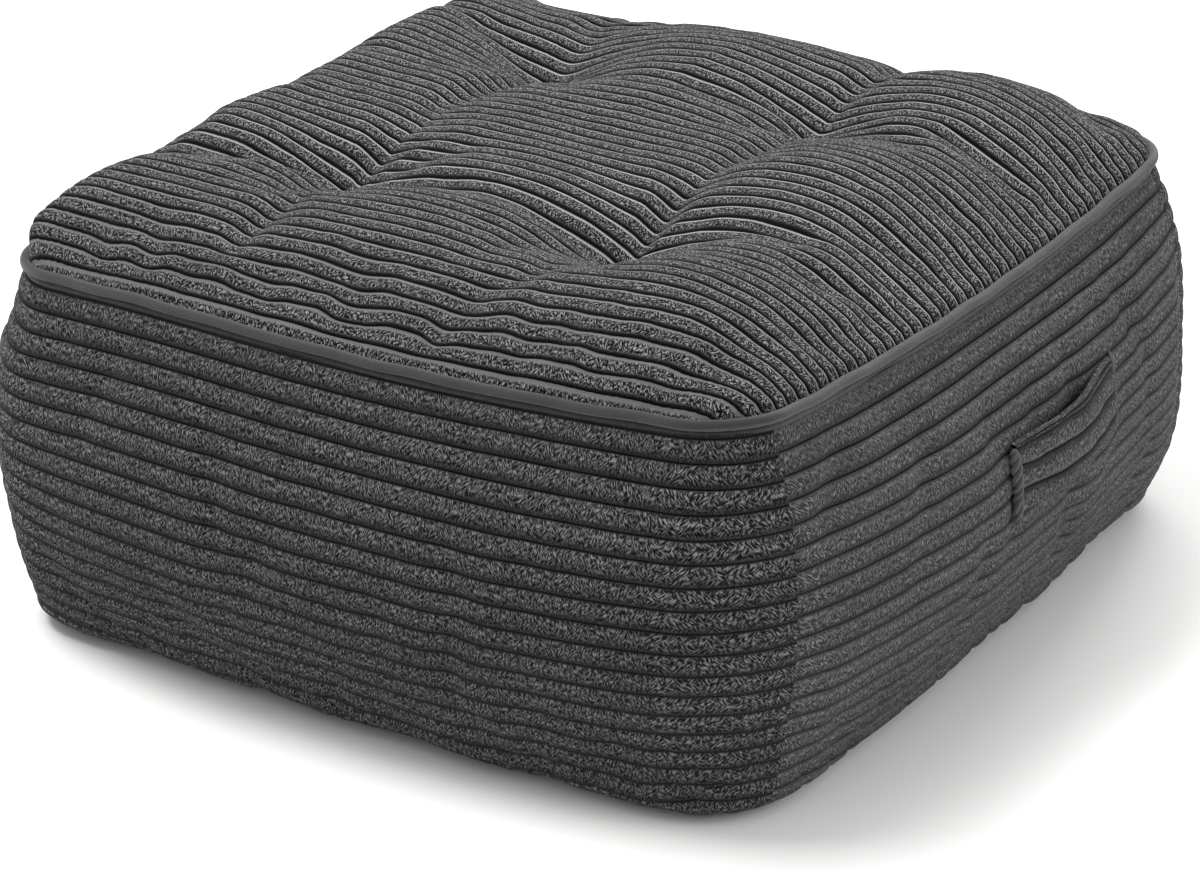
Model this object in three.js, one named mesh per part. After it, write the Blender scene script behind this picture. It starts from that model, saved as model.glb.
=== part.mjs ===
// Square tufted floor pillow in wide corduroy: one filled cushion with a crowned top,
// four tufts and bulging sides, a piping cord round the top seam and a strap handle.
// Millimetres. +Z is up, +X points to the side with the handle, -Y to the long front side.
// The origin is the middle of the flat base.

import * as THREE from "three";

// ---- driving sizes -------------------------------------------------------------
const seamWidth = 512;          // top seam from the left side to the handle side
const seamDepth = 552;          // top seam from front to back
const seamHeight = 229;         // top seam above the floor, halfway along a side
const cornerLift = 12;          // how much higher the seam runs at the corners
const sideBow = 5;              // how far the seam bows out between two corners
const crownHeight = 53;         // filling above the seam, before the tufts pull it down
const cordRadius = 4.5;
const clearance = 0.35;         // between touching pieces
const handleLength = 140;
const handleWidth = 50;
const handleThickness = 6;
const handleReach = 14;         // finger room between the strap and the side
const handleMiddleY = 25;
const handleMiddleZ = 135;

const halfWidth = seamWidth / 2;
const halfDepth = seamDepth / 2;

// ---- top seam seen from above ---------------------------------------------------
// Corner radii in walking order, anticlockwise from the front left corner.
const corners = [
  { name: "front left", x: -1, y: -1, radius: 37 },
  { name: "front right", x: 1, y: -1, radius: 42 },
  { name: "back right", x: 1, y: 1, radius: 50 },
  { name: "back left", x: -1, y: 1, radius: 42 },
];
const stepsPerSide = 36;

// A point of the seam line and its outward direction. side is 0 to 3, share is 0 to 1
// from the middle of one rounded corner to the middle of the next.
function seamPoint(side, share) {
  const from = corners[side];
  const to = corners[(side + 1) % 4];
  const alongX = side % 2 === 0;
  const sideLength = alongX ? seamWidth : seamDepth;
  const straight = sideLength - from.radius - to.radius;
  const arcFrom = from.radius * Math.PI / 4;
  const arcTo = to.radius * Math.PI / 4;
  const run = share * (arcFrom + straight + arcTo);
  const outward = (side - 1) * Math.PI / 2;
  if (run < arcFrom) {
    return arcPoint(from, outward - Math.PI / 4 + run / from.radius);
  }
  if (run > arcFrom + straight) {
    return arcPoint(to, outward + (run - arcFrom - straight) / to.radius);
  }
  const slide = (run - arcFrom) / straight;
  const start = arcPoint(from, outward);
  const end = arcPoint(to, outward);
  return {
    x: start.x + (end.x - start.x) * slide,
    y: start.y + (end.y - start.y) * slide,
    outX: Math.cos(outward),
    outY: Math.sin(outward),
  };
}

function arcPoint(corner, angle) {
  const outX = Math.cos(angle);
  const outY = Math.sin(angle);
  return {
    x: corner.x * (halfWidth - corner.radius) + corner.radius * outX,
    y: corner.y * (halfDepth - corner.radius) + corner.radius * outY,
    outX,
    outY,
  };
}

// Corners stay in while the middle of a side bows out to its full width.
function bowed(point) {
  const u = point.x / halfWidth;
  const v = point.y / halfDepth;
  return {
    ...point,
    x: point.x - sideBow * u * v * v,
    y: point.y - sideBow * v * u * u,
  };
}

const seamLine = [];
for (let side = 0; side < 4; side += 1) {
  for (let step = 0; step < stepsPerSide; step += 1) {
    seamLine.push(bowed(seamPoint(side, step / stepsPerSide)));
  }
}

function seamLevel(x, y) {
  return seamHeight + cornerLift * (x / halfWidth) ** 2 * (y / halfDepth) ** 2;
}

// ---- crown of the top -------------------------------------------------------------
// How fast the filling rises behind each side: full height after reach, power sets the curve.
const rises = {
  left: { reach: 70, power: 5.6 },
  right: { reach: 151, power: 2.5 },
  front: { reach: 275, power: 6.3 },
  back: { reach: 219, power: 4.2 },
};

// The crown is uneven: higher towards the left and the back.
const crownTiltRight = -8;
const crownTiltBack = 6;
const crownTwist = -3;

// How well the corners are filled: 0 lets the crown fall away, 1 fills them.
const frontCornerFill = 1;
const backCornerFill = 0;
const cornerRoundness = 3;

// The tufts part the top into nine lobes. rise is how much fuller or flatter each one is.
const lobeWidth = 61;
const lobeEdge = 3;             // larger keeps the lobes' full rise nearer to the seam
const lobes = [
  { name: "front left", x: -185, y: -190, rise: -7.5 },
  { name: "front middle", x: -5, y: -190, rise: -3 },
  { name: "front right", x: 175, y: -190, rise: 12 },
  { name: "left", x: -190, y: 5, rise: -10 },
  { name: "middle", x: -10, y: 0, rise: -10.5 },
  { name: "right", x: 170, y: 0, rise: 11 },
  { name: "back left", x: -190, y: 190, rise: -12 },
  { name: "back middle", x: -15, y: 190, rise: 6 },
  { name: "back right", x: 165, y: 190, rise: 11.5 },
];

// depth is how far a tuft is pulled below the crown.
const tufts = {
  frontLeft: { x: -118, y: -109, depth: 32 },
  frontRight: { x: 80, y: -114, depth: 39 },
  backLeft: { x: -122, y: 118, depth: 40 },
  backRight: { x: 82, y: 104, depth: 28 },
};

// Where the creases towards the sides run out.
const creaseEnds = {
  frontLeft: { x: -104, y: -250, depth: 0 },
  frontRight: { x: 92, y: -254, depth: 0 },
  backLeft: { x: -116, y: 268, depth: 3 },
  backRight: { x: 86, y: 268, depth: 0 },
  leftFront: { x: -250, y: -150, depth: 11 },
  leftBack: { x: -250, y: 106, depth: 2 },
  rightFront: { x: 250, y: -112, depth: 0 },
  rightBack: { x: 250, y: 106, depth: 0 },
};

// Creases pulled in by the tufts. middle is the depth halfway along.
const narrowCrease = 36;
const wideCrease = 46;
const creases = [
  { from: tufts.frontLeft, to: tufts.backLeft, width: narrowCrease, middle: 10.5 },
  { from: tufts.frontRight, to: tufts.backRight, width: narrowCrease, middle: 10 },
  { from: tufts.frontLeft, to: tufts.frontRight, width: wideCrease, middle: 10 },
  { from: tufts.backLeft, to: tufts.backRight, width: wideCrease, middle: 1 },
  { from: tufts.frontLeft, to: creaseEnds.frontLeft, width: narrowCrease, middle: 9.5 },
  { from: tufts.frontRight, to: creaseEnds.frontRight, width: narrowCrease, middle: 4.5 },
  { from: tufts.backLeft, to: creaseEnds.backLeft, width: narrowCrease, middle: 5 },
  { from: tufts.backRight, to: creaseEnds.backRight, width: narrowCrease, middle: 9 },
  { from: tufts.frontLeft, to: creaseEnds.leftFront, width: wideCrease, middle: 12 },
  { from: tufts.backLeft, to: creaseEnds.leftBack, width: wideCrease, middle: 4 },
  { from: tufts.frontRight, to: creaseEnds.rightFront, width: wideCrease, middle: 4 },
  { from: tufts.backRight, to: creaseEnds.rightBack, width: wideCrease, middle: 5 },
];
const creaseRunOut = 1.8;       // how quickly a crease gets shallower away from its ends
const creaseSharpness = 1.1;    // 1 is a sharp fold, 2 a round hollow
const seamEase = 0.1;           // the creases run out over this outer share of the top

function riseBehind(distance, rise) {
  const share = THREE.MathUtils.clamp(distance / rise.reach, 0, 1);
  return 1 - (1 - share) ** rise.power;
}

function creaseDepth(crease, x, y) {
  const dx = crease.to.x - crease.from.x;
  const dy = crease.to.y - crease.from.y;
  const along = ((x - crease.from.x) * dx + (y - crease.from.y) * dy) / (dx * dx + dy * dy);
  const share = THREE.MathUtils.clamp(along, 0, 1);
  const away = Math.hypot(x - crease.from.x - share * dx, y - crease.from.y - share * dy);
  const nearStart = Math.max(0, 1 - 2 * share) ** creaseRunOut;
  const nearEnd = Math.max(0, 2 * share - 1) ** creaseRunOut;
  const depth = crease.middle
    + (crease.from.depth - crease.middle) * nearStart
    + (crease.to.depth - crease.middle) * nearEnd;
  return depth * Math.exp(-((away / crease.width) ** creaseSharpness));
}

function crownLevel(x, y) {
  const across = riseBehind(halfWidth + x, rises.left) * riseBehind(halfWidth - x, rises.right);
  const deep = riseBehind(halfDepth + y, rises.front) * riseBehind(halfDepth - y, rises.back);
  const short = (1 - across) ** cornerRoundness + (1 - deep) ** cornerRoundness;
  const filled = Math.max(0, 1 - short ** (1 / cornerRoundness));
  const fill = THREE.MathUtils.lerp(frontCornerFill, backCornerFill, (y / halfDepth + 1) / 2);
  const u = x / halfWidth;
  const v = y / halfDepth;
  const full = crownHeight + crownTiltRight * u + crownTiltBack * v + crownTwist * u * v;
  return full * THREE.MathUtils.lerp(across * deep, filled, fill)
    + lobeRise(x, y) * Math.min(1, lobeEdge * Math.min(across, deep));
}

function lobeRise(x, y) {
  return lobes.reduce((sum, lobe) => {
    const away = Math.hypot(x - lobe.x, y - lobe.y) / lobeWidth;
    return sum + lobe.rise * Math.exp(-away * away / 2);
  }, 0);
}

function topLevel(x, y) {
  const pull = Math.max(...creases.map((crease) => creaseDepth(crease, x, y)));
  const edge = 1 - Math.max(Math.abs(x) / halfWidth, Math.abs(y) / halfDepth);
  return seamLevel(x, y) + crownLevel(x, y) - pull * THREE.MathUtils.smoothstep(edge, 0, seamEase);
}

// ---- side panels --------------------------------------------------------------------
// How far the side stands out from the seam line. share is the height over the seam height.
const sideProfile = [
  { share: 0.07, out: 14.5 },
  { share: 0.2, out: 27 },
  { share: 0.45, out: 43 },
  { share: 0.75, out: 35 },
  { share: 1, out: 0 },
];
const baseInset = 40;           // the flat base stops this far inside the seam line
const baseRound = 0.07;         // the rounded base edge ends at this share of the height
const cornerSlack = 0.72;       // part of the bulge that a corner loses
const cornerBaseSlack = 0.56;   // part of the base inset that a corner loses
const cornerPower = 3;          // how close to the corner that starts
const footBulge = { slack: 0.5, share: 0.16, width: 0.2 };   // fuller foot, back right corner

// Smooth curve through the side profile: straight slopes at each row, cubic between rows.
function profileOut(share) {
  const last = sideProfile.length - 2;
  let row = 0;
  while (row < last && share > sideProfile[row + 1].share) row += 1;
  const lower = sideProfile[row];
  const upper = sideProfile[row + 1];
  const gap = upper.share - lower.share;
  const t = (share - lower.share) / gap;
  const slopeLower = profileSlope(row) * gap;
  const slopeUpper = profileSlope(row + 1) * gap;
  return (2 * t ** 3 - 3 * t ** 2 + 1) * lower.out + (t ** 3 - 2 * t ** 2 + t) * slopeLower
    + (3 * t ** 2 - 2 * t ** 3) * upper.out + (t ** 3 - t ** 2) * slopeUpper;
}

function profileSlope(row) {
  const before = sideProfile[Math.max(row - 1, 0)];
  const after = sideProfile[Math.min(row + 1, sideProfile.length - 1)];
  return (after.out - before.out) / (after.share - before.share);
}

function sideOut(point, share) {
  const cornerness = Math.abs(point.x * point.y / (halfWidth * halfDepth)) ** cornerPower;
  if (share >= baseRound) {
    const isBackRight = point.x > 0 && point.y > 0;
    const foot = isBackRight
      ? footBulge.slack * Math.exp(-(((share - footBulge.share) / footBulge.width) ** 2))
      : 0;
    return profileOut(share) * (1 - cornerness * (cornerSlack - foot));
  }
  const round = Math.sqrt(1 - (1 - share / baseRound) ** 2);
  const inset = -baseInset * (1 - cornerness * cornerBaseSlack);
  return inset + (sideOut(point, baseRound) - inset) * round;
}

function sidePoint(point, share) {
  const out = sideOut(point, share);
  return new THREE.Vector3(
    point.x + point.outX * out,
    point.y + point.outY * out,
    share * seamLevel(point.x, point.y),
  );
}

// ---- seam channel that holds the piping -------------------------------------------------
const channelHalf = 7;          // from the seam to each lip of the channel
const channelDepth = 3;
const channelOutShare = 0.75;   // direction square to the channel, outward and up
const channelUpShare = 0.66;
const topInsets = [channelHalf, 13, 22];   // rings of the top inside the seam, before the grid

function insetPoint(point, inset) {
  return { x: point.x - point.outX * inset, y: point.y - point.outY * inset };
}

function channelFloor(point) {
  return new THREE.Vector3(
    point.x - point.outX * channelDepth * channelOutShare,
    point.y - point.outY * channelDepth * channelOutShare,
    seamLevel(point.x, point.y) - channelDepth * channelUpShare,
  );
}

// ---- cushion: one closed solid ------------------------------------------------------------
const sideShares = [0, 0.006, 0.028, 0.07, 0.13, 0.2, 0.3, 0.42, 0.54, 0.66, 0.77, 0.87, 0.965];

function buildCushion() {
  const positions = [];
  const faces = [];
  const addVertex = (vector) => positions.push(vector.x, vector.y, vector.z) / 3 - 1;
  const addQuad = (a, b, c, d) => faces.push(a, b, c, a, c, d);
  const addRing = (place) => seamLine.map((point) => addVertex(place(point)));

  const rings = sideShares.map((share) => addRing((point) => sidePoint(point, share)));
  rings.push(addRing(channelFloor));
  for (const inset of topInsets) {
    rings.push(addRing((point) => {
      const inner = insetPoint(point, inset);
      return new THREE.Vector3(inner.x, inner.y, topLevel(inner.x, inner.y));
    }));
  }
  const count = seamLine.length;
  for (let level = 1; level < rings.length; level += 1) {
    for (let step = 0; step < count; step += 1) {
      const next = (step + 1) % count;
      addQuad(rings[level - 1][step], rings[level - 1][next], rings[level][next], rings[level][step]);
    }
  }

  const middle = addVertex(new THREE.Vector3(0, 0, 0));
  for (let step = 0; step < count; step += 1) {
    faces.push(middle, rings[0][(step + 1) % count], rings[0][step]);
  }
  addTopGrid(rings[rings.length - 1], positions, addVertex, addQuad);

  const geometry = new THREE.BufferGeometry();
  geometry.setAttribute("position", new THREE.Float32BufferAttribute(positions, 3));
  geometry.setIndex(faces);
  geometry.computeVertexNormals();
  return geometry;
}

// Fills the innermost ring with a square grid blended from its four sides.
function addTopGrid(ring, positions, addVertex, addQuad) {
  const n = stepsPerSide;
  const at = (index) => new THREE.Vector2(positions[3 * index], positions[3 * index + 1]);
  const front = (i) => ring[i];
  const right = (j) => ring[n + j];
  const back = (i) => ring[3 * n - i];
  const left = (j) => ring[(4 * n - j) % (4 * n)];
  const grid = [];
  for (let i = 0; i <= n; i += 1) {
    grid.push([]);
    for (let j = 0; j <= n; j += 1) {
      if (j === 0) grid[i].push(front(i));
      else if (j === n) grid[i].push(back(i));
      else if (i === 0) grid[i].push(left(j));
      else if (i === n) grid[i].push(right(j));
      else {
        const place = blendedPoint(at, { front, right, back, left }, i / n, j / n, i, j);
        grid[i].push(addVertex(new THREE.Vector3(place.x, place.y, topLevel(place.x, place.y))));
      }
    }
  }
  for (let i = 0; i < n; i += 1) {
    for (let j = 0; j < n; j += 1) {
      addQuad(grid[i][j], grid[i + 1][j], grid[i + 1][j + 1], grid[i][j + 1]);
    }
  }
}

function blendedPoint(at, sides, u, v, i, j) {
  const n = stepsPerSide;
  const lines = at(sides.front(i)).multiplyScalar(1 - v)
    .add(at(sides.back(i)).multiplyScalar(v))
    .add(at(sides.left(j)).multiplyScalar(1 - u))
    .add(at(sides.right(j)).multiplyScalar(u));
  const cornersShare = at(sides.front(0)).multiplyScalar((1 - u) * (1 - v))
    .add(at(sides.front(n)).multiplyScalar(u * (1 - v)))
    .add(at(sides.back(n)).multiplyScalar(u * v))
    .add(at(sides.back(0)).multiplyScalar((1 - u) * v));
  return lines.sub(cornersShare);
}

// ---- piping: a round cord lying in the seam channel ------------------------------------------
const cordSides = 7;

function buildPiping() {
  const lip = Math.hypot(channelHalf, channelDepth);
  const seat = (cordRadius + clearance) * lip / channelHalf;
  const sections = seamLine.map((point) => {
    const floor = channelFloor(point);
    const centre = new THREE.Vector3(
      floor.x + point.outX * seat * channelOutShare,
      floor.y + point.outY * seat * channelOutShare,
      floor.z + seat * channelUpShare,
    );
    const section = [];
    for (let side = 0; side < cordSides; side += 1) {
      const angle = 2 * Math.PI * side / cordSides;
      const out = cordRadius * Math.cos(angle);
      section.push(new THREE.Vector3(
        centre.x + point.outX * out,
        centre.y + point.outY * out,
        centre.z + cordRadius * Math.sin(angle),
      ));
    }
    return section;
  });
  return loft(sections, true);
}

// ---- handle: a strap sewn on at both ends and bowed out between them --------------------------
const handleSteps = 22;
const handleFlat = 12;          // sewn length at each end, flat on the side
const handleEndFold = 3;        // the folded front end is this much thicker

// Strap edge seen end on. across runs over the strap's width, through from the side outwards.
const strapSection = [
  { across: -0.5, through: 0.3 },
  { across: -0.5, through: 0.7 },
  { across: -0.46, through: 1 },
  { across: -0.15, through: 1 },
  { across: 0.15, through: 1 },
  { across: 0.46, through: 1 },
  { across: 0.5, through: 0.7 },
  { across: 0.5, through: 0.3 },
  { across: 0.46, through: 0 },
  { across: 0.15, through: 0 },
  { across: -0.15, through: 0 },
  { across: -0.46, through: 0 },
];

// Where the handle side's surface is, at a place along it and a height.
function sideSurfaceX(y, z) {
  const x = halfWidth - sideBow * (y / halfDepth) ** 2;
  const point = { x, y, outX: 1, outY: 0 };
  return x + sideOut(point, z / seamLevel(x, y));
}

function buildHandle() {
  const sections = [];
  for (let step = 0; step <= handleSteps; step += 1) {
    const share = step / handleSteps;
    const along = share * handleLength;
    const fromEnd = Math.min(along, handleLength - along);
    const bowShare = THREE.MathUtils.clamp((fromEnd - handleFlat) / (handleLength / 2 - handleFlat), 0, 1);
    const reach = handleReach * Math.sin(bowShare * Math.PI / 2);
    const fold = along < handleFlat ? handleEndFold : 0;
    const y = handleMiddleY - handleLength / 2 + along;
    sections.push(strapSection.map(({ across, through }) => {
      const z = handleMiddleZ + across * handleWidth;
      const x = sideSurfaceX(y, z) + clearance + reach + through * (handleThickness + fold);
      return new THREE.Vector3(x, y, z);
    }));
  }
  return loft(sections, false);
}

// Skin over a row of equal sections, closed on itself or capped at both ends.
function loft(sections, closed) {
  const width = sections[0].length;
  const positions = sections.flat().flatMap((vector) => [vector.x, vector.y, vector.z]);
  const faces = [];
  const spans = closed ? sections.length : sections.length - 1;
  for (let row = 0; row < spans; row += 1) {
    const next = (row + 1) % sections.length;
    for (let side = 0; side < width; side += 1) {
      const turn = (side + 1) % width;
      const a = row * width + side;
      const b = row * width + turn;
      const c = next * width + turn;
      const d = next * width + side;
      faces.push(a, c, b, a, d, c);
    }
  }
  if (!closed) {
    const last = (sections.length - 1) * width;
    for (let side = 1; side < width - 1; side += 1) {
      faces.push(0, side, side + 1);
      faces.push(last, last + side + 1, last + side);
    }
  }
  const geometry = new THREE.BufferGeometry();
  geometry.setAttribute("position", new THREE.Float32BufferAttribute(positions, 3));
  geometry.setIndex(faces);
  geometry.computeVertexNormals();
  return geometry;
}

// ---- materials and scene ------------------------------------------------------------------------
const corduroy = new THREE.MeshStandardMaterial({ color: "#4a4a4b", roughness: 0.95, metalness: 0 });
const cordCloth = new THREE.MeshStandardMaterial({ color: "#5a5a5b", roughness: 0.85, metalness: 0 });
const strapCloth = new THREE.MeshStandardMaterial({ color: "#484849", roughness: 0.95, metalness: 0 });

function piece(name, geometry, material) {
  const mesh = new THREE.Mesh(geometry, material);
  mesh.name = name;
  return mesh;
}

const pillow = new THREE.Group();
pillow.add(piece("cushion", buildCushion(), corduroy));
pillow.add(piece("piping", buildPiping(), cordCloth));
pillow.add(piece("handle", buildHandle(), strapCloth));

export default pillow;
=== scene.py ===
import math

import bpy
import numpy as np
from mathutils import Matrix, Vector
from mathutils.kdtree import KDTree


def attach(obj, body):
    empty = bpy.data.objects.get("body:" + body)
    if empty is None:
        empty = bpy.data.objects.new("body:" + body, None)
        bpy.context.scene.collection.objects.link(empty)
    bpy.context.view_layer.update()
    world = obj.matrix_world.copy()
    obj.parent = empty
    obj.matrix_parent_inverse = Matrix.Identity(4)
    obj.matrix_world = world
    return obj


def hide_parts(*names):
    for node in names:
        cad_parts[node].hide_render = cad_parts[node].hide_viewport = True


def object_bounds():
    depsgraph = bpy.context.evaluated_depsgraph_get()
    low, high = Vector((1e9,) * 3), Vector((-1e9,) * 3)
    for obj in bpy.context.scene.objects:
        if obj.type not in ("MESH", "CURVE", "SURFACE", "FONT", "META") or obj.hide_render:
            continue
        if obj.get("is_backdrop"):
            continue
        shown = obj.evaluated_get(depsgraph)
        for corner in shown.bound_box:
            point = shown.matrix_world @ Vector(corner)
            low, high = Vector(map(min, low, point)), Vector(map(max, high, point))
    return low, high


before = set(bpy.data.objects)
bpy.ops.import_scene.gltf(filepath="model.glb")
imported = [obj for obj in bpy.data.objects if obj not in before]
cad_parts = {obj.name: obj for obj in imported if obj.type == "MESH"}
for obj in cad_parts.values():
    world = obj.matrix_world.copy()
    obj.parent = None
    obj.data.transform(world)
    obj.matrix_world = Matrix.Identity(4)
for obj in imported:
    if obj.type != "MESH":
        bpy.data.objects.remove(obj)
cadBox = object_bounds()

print("floor pillow: frame loaded")

# The camera stands in front, turned towards the handle side and above.
cameraSetup = {
    "aim": Vector((0.0065, -0.0231, 0.0849)),
    "turn": math.radians(32.14),  # round the pillow, from the front
    "lift": math.radians(23.94),  # above the horizon
    "distance": 2.291,
    "lens": 110.9,
    "clipEnd": 50,
}


def addObject(name, data):
    made = bpy.data.objects.new(name, data)
    bpy.context.scene.collection.objects.link(made)
    return made


def placeCamera():
    turn, lift = cameraSetup["turn"], cameraSetup["lift"]
    back = Vector((math.sin(turn) * math.cos(lift), -math.cos(turn) * math.cos(lift), math.sin(lift)))
    camera = addObject("camera", bpy.data.cameras.new("camera"))
    camera.location = cameraSetup["aim"] + back * cameraSetup["distance"]
    camera.rotation_euler = (-back).to_track_quat("-Z", "Y").to_euler()
    camera.data.lens = cameraSetup["lens"]
    camera.data.clip_end = cameraSetup["clipEnd"]
    bpy.context.scene.camera = camera


placeCamera()

# Main sizes of the filled pillow, in metres.
pillow = {
    "width": 0.512,  # top seam, left side to handle side
    "depth": 0.552,  # top seam, front to back
    "seamHeight": 0.229,
    "cornerLift": 0.012,  # the seam runs higher at the corners
    "sideBow": 0.005,
    "cornerSag": 0.0085,  # the seam hangs lower at the front left corner
    "sagReach": 0.085,
    "radii": (0.037, 0.042, 0.050, 0.042),  # seam corners, anticlockwise from the front left
    "seamSamples": 400,  # along each side, for the walk round the seam
}
halfWidth, halfDepth = pillow["width"] / 2, pillow["depth"] / 2


def unevenness(a, b, seed):
    # smooth random field from -1 to 1; a and b count its cells both ways
    cells = np.random.default_rng(seed).uniform(-1, 1, (64, 64))
    a, b = np.broadcast_arrays(np.asarray(a, float), np.asarray(b, float))
    ia, ib = np.floor(a).astype(int), np.floor(b).astype(int)
    fa, fb = a - ia, b - ib
    fa, fb = fa * fa * (3 - 2 * fa), fb * fb * (3 - 2 * fb)
    corner = lambda i, j: cells[(ia + i) % 64, (ib + j) % 64]
    return ((corner(0, 0) * (1 - fa) + corner(1, 0) * fa) * (1 - fb)
            + (corner(0, 1) * (1 - fa) + corner(1, 1) * fa) * fb)


def unevenIn(a, b, sizes, seed):
    return unevenness(a / sizes[0], b / sizes[1], seed)


def eased(value, low, high):
    t = np.clip((value - low) / (high - low), 0, 1)
    return t * t * (3 - 2 * t)


def stacked(*fields):
    # one grid of rows of numbers from fields of the same or matching shapes
    return np.stack(np.broadcast_arrays(*fields), -1)


def walkSeam():
    # places and outward directions round the top seam, from the middle of the front left corner
    signs = ((-1, -1), (1, -1), (1, 1), (-1, 1))
    radii = pillow["radii"]
    walked, rows, starts = 0.0, [], []
    for edge in range(4):
        after = (edge + 1) % 4
        length = pillow["width"] if edge % 2 == 0 else pillow["depth"]
        straight = length - radii[edge] - radii[after]
        arcs = radii[edge] * math.pi / 4, radii[after] * math.pi / 4
        total = arcs[0] + straight + arcs[1]
        run = np.linspace(0, total, pillow["seamSamples"], endpoint=False)
        turn = (edge - 1) * math.pi / 2 + np.where(
            run < arcs[0], run / radii[edge] - math.pi / 4,
            np.maximum(0, run - arcs[0] - straight) / radii[after])
        slide = np.clip((run - arcs[0]) / straight, 0, 1)
        radius = radii[edge] + (radii[after] - radii[edge]) * slide
        centre = [np.interp(slide, (0, 1), [sign[axis] * (half - radii[k]) for k, sign in
                                            ((edge, signs[edge]), (after, signs[after]))])
                  for axis, half in ((0, halfWidth), (1, halfDepth))]
        x, y = centre[0] + radius * np.cos(turn), centre[1] + radius * np.sin(turn)
        x, y = bowed(x, y)
        starts.append(walked)
        rows.append(np.stack([walked + run, x, y, np.cos(turn), np.sin(turn)]))
        walked += total
    table = np.concatenate(rows, axis=1)
    closing = table[:, :1].copy()
    closing[0] = walked
    return np.concatenate([table, closing], axis=1), starts, walked


def bowed(x, y):
    # the sides bow out between the corners
    u, v = x / halfWidth, y / halfDepth
    return x - pillow["sideBow"] * u * v ** 2, y - pillow["sideBow"] * v * u ** 2


seamTable, cornerAt, seamLength = walkSeam()


def onSeam(s):
    # x, y and the outward direction at a distance walked round the seam
    return [np.interp(np.mod(s, seamLength), seamTable[0], row) for row in seamTable[1:]]


def cornerSag(x, y):
    away = np.hypot(x + halfWidth, y + halfDepth) / pillow["sagReach"]
    return pillow["cornerSag"] * np.exp(-away ** 2)


def seamLevel(x, y):
    lift = pillow["cornerLift"] * (x / halfWidth) ** 2 * (y / halfDepth) ** 2
    return pillow["seamHeight"] + lift - cornerSag(x, y)


def outwardOf(points):
    # unit normals of a grid of points
    along = np.gradient(points, axis=1)
    across = np.gradient(points, axis=0)
    normal = np.cross(along, across)
    return normal / np.maximum(np.linalg.norm(normal, axis=2, keepdims=True), 1e-12)


def clothPiece(name, points, cloth, closed=False):
    # a grid of points as one mesh; cloth holds the place along and across the wales, in wales
    rows, cols = points.shape[:2]
    index = np.arange(rows * cols).reshape(rows, cols)
    if closed:
        index = np.concatenate([index, index[:1]], axis=0)
        cloth = np.concatenate([cloth, cloth[-1:] * 2 - cloth[-2:-1]], axis=0)
    quads = np.stack([index[:-1, :-1], index[:-1, 1:], index[1:, 1:], index[1:, :-1]], -1).reshape(-1, 4)
    order = np.arange(cloth.shape[0] * cols).reshape(-1, cols)
    corners = np.stack([order[:-1, :-1], order[:-1, 1:], order[1:, 1:], order[1:, :-1]], -1).reshape(-1)
    mesh = bpy.data.meshes.new(name)
    mesh.from_pydata(points.reshape(-1, 3), [], quads)
    places = cloth.reshape(-1, 2)[corners].astype(np.float32)
    mesh.uv_layers.new(name="cloth").data.foreach_set("uv", places.ravel())
    mesh.shade_smooth()
    return addObject(name, mesh)


# Filling: the cover's cloth is pressed out between its seams, tufts and base, for soft creases.
filling = {
    "voxel": 0.0065,
    "weld": 0.00002,
    "pressure": 4.0,
    "looseness": -0.05,  # the cloth is cut this much larger than the form
    "frames": 20,
    "pinWidth": 0.012,
    "pinShare": 0.93,  # seam pins stand this far out, as a share of half the width or depth
    "cap": 0.0035,  # no place moves further than this
    "cells": 90,  # the creases are read on a grid of this many cells a side
    "neighbours": 5,
    "blur": 7,  # broad swelling stays when this many cells each way are blurred
    "keptSwelling": 0.25,  # share of it that is kept
    "cloth": {
        "quality": 4,
        "tension_stiffness": 15,
        "compression_stiffness": 15,
        "shear_stiffness": 5,
        "bending_stiffness": 0.4,
        "mass": 0.3,
    },
}


def pinned(places):
    # the cloth is held at the seam, the tufts and the base
    x, y, z = places.T
    atSeam = (np.abs(z - seamLevel(x, y)) < filling["pinWidth"]) \
        & (np.maximum(np.abs(x) / halfWidth, np.abs(y) / halfDepth) > filling["pinShare"])
    atTuft = np.zeros(len(places), bool)
    for px, py, _ in tufts.values():
        atTuft |= (np.hypot(x - px, y - py) < filling["pinWidth"]) & (z > pillow["seamHeight"] / 2)
    onBase = z < filling["pinWidth"] / 2
    return atSeam | atTuft | onBase


def rowsOf(vertices, name):
    # one row of three numbers for each vertex
    numbers = np.zeros(len(vertices) * 3)
    vertices.foreach_get(name, numbers)
    return numbers.reshape(-1, 3)


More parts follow.
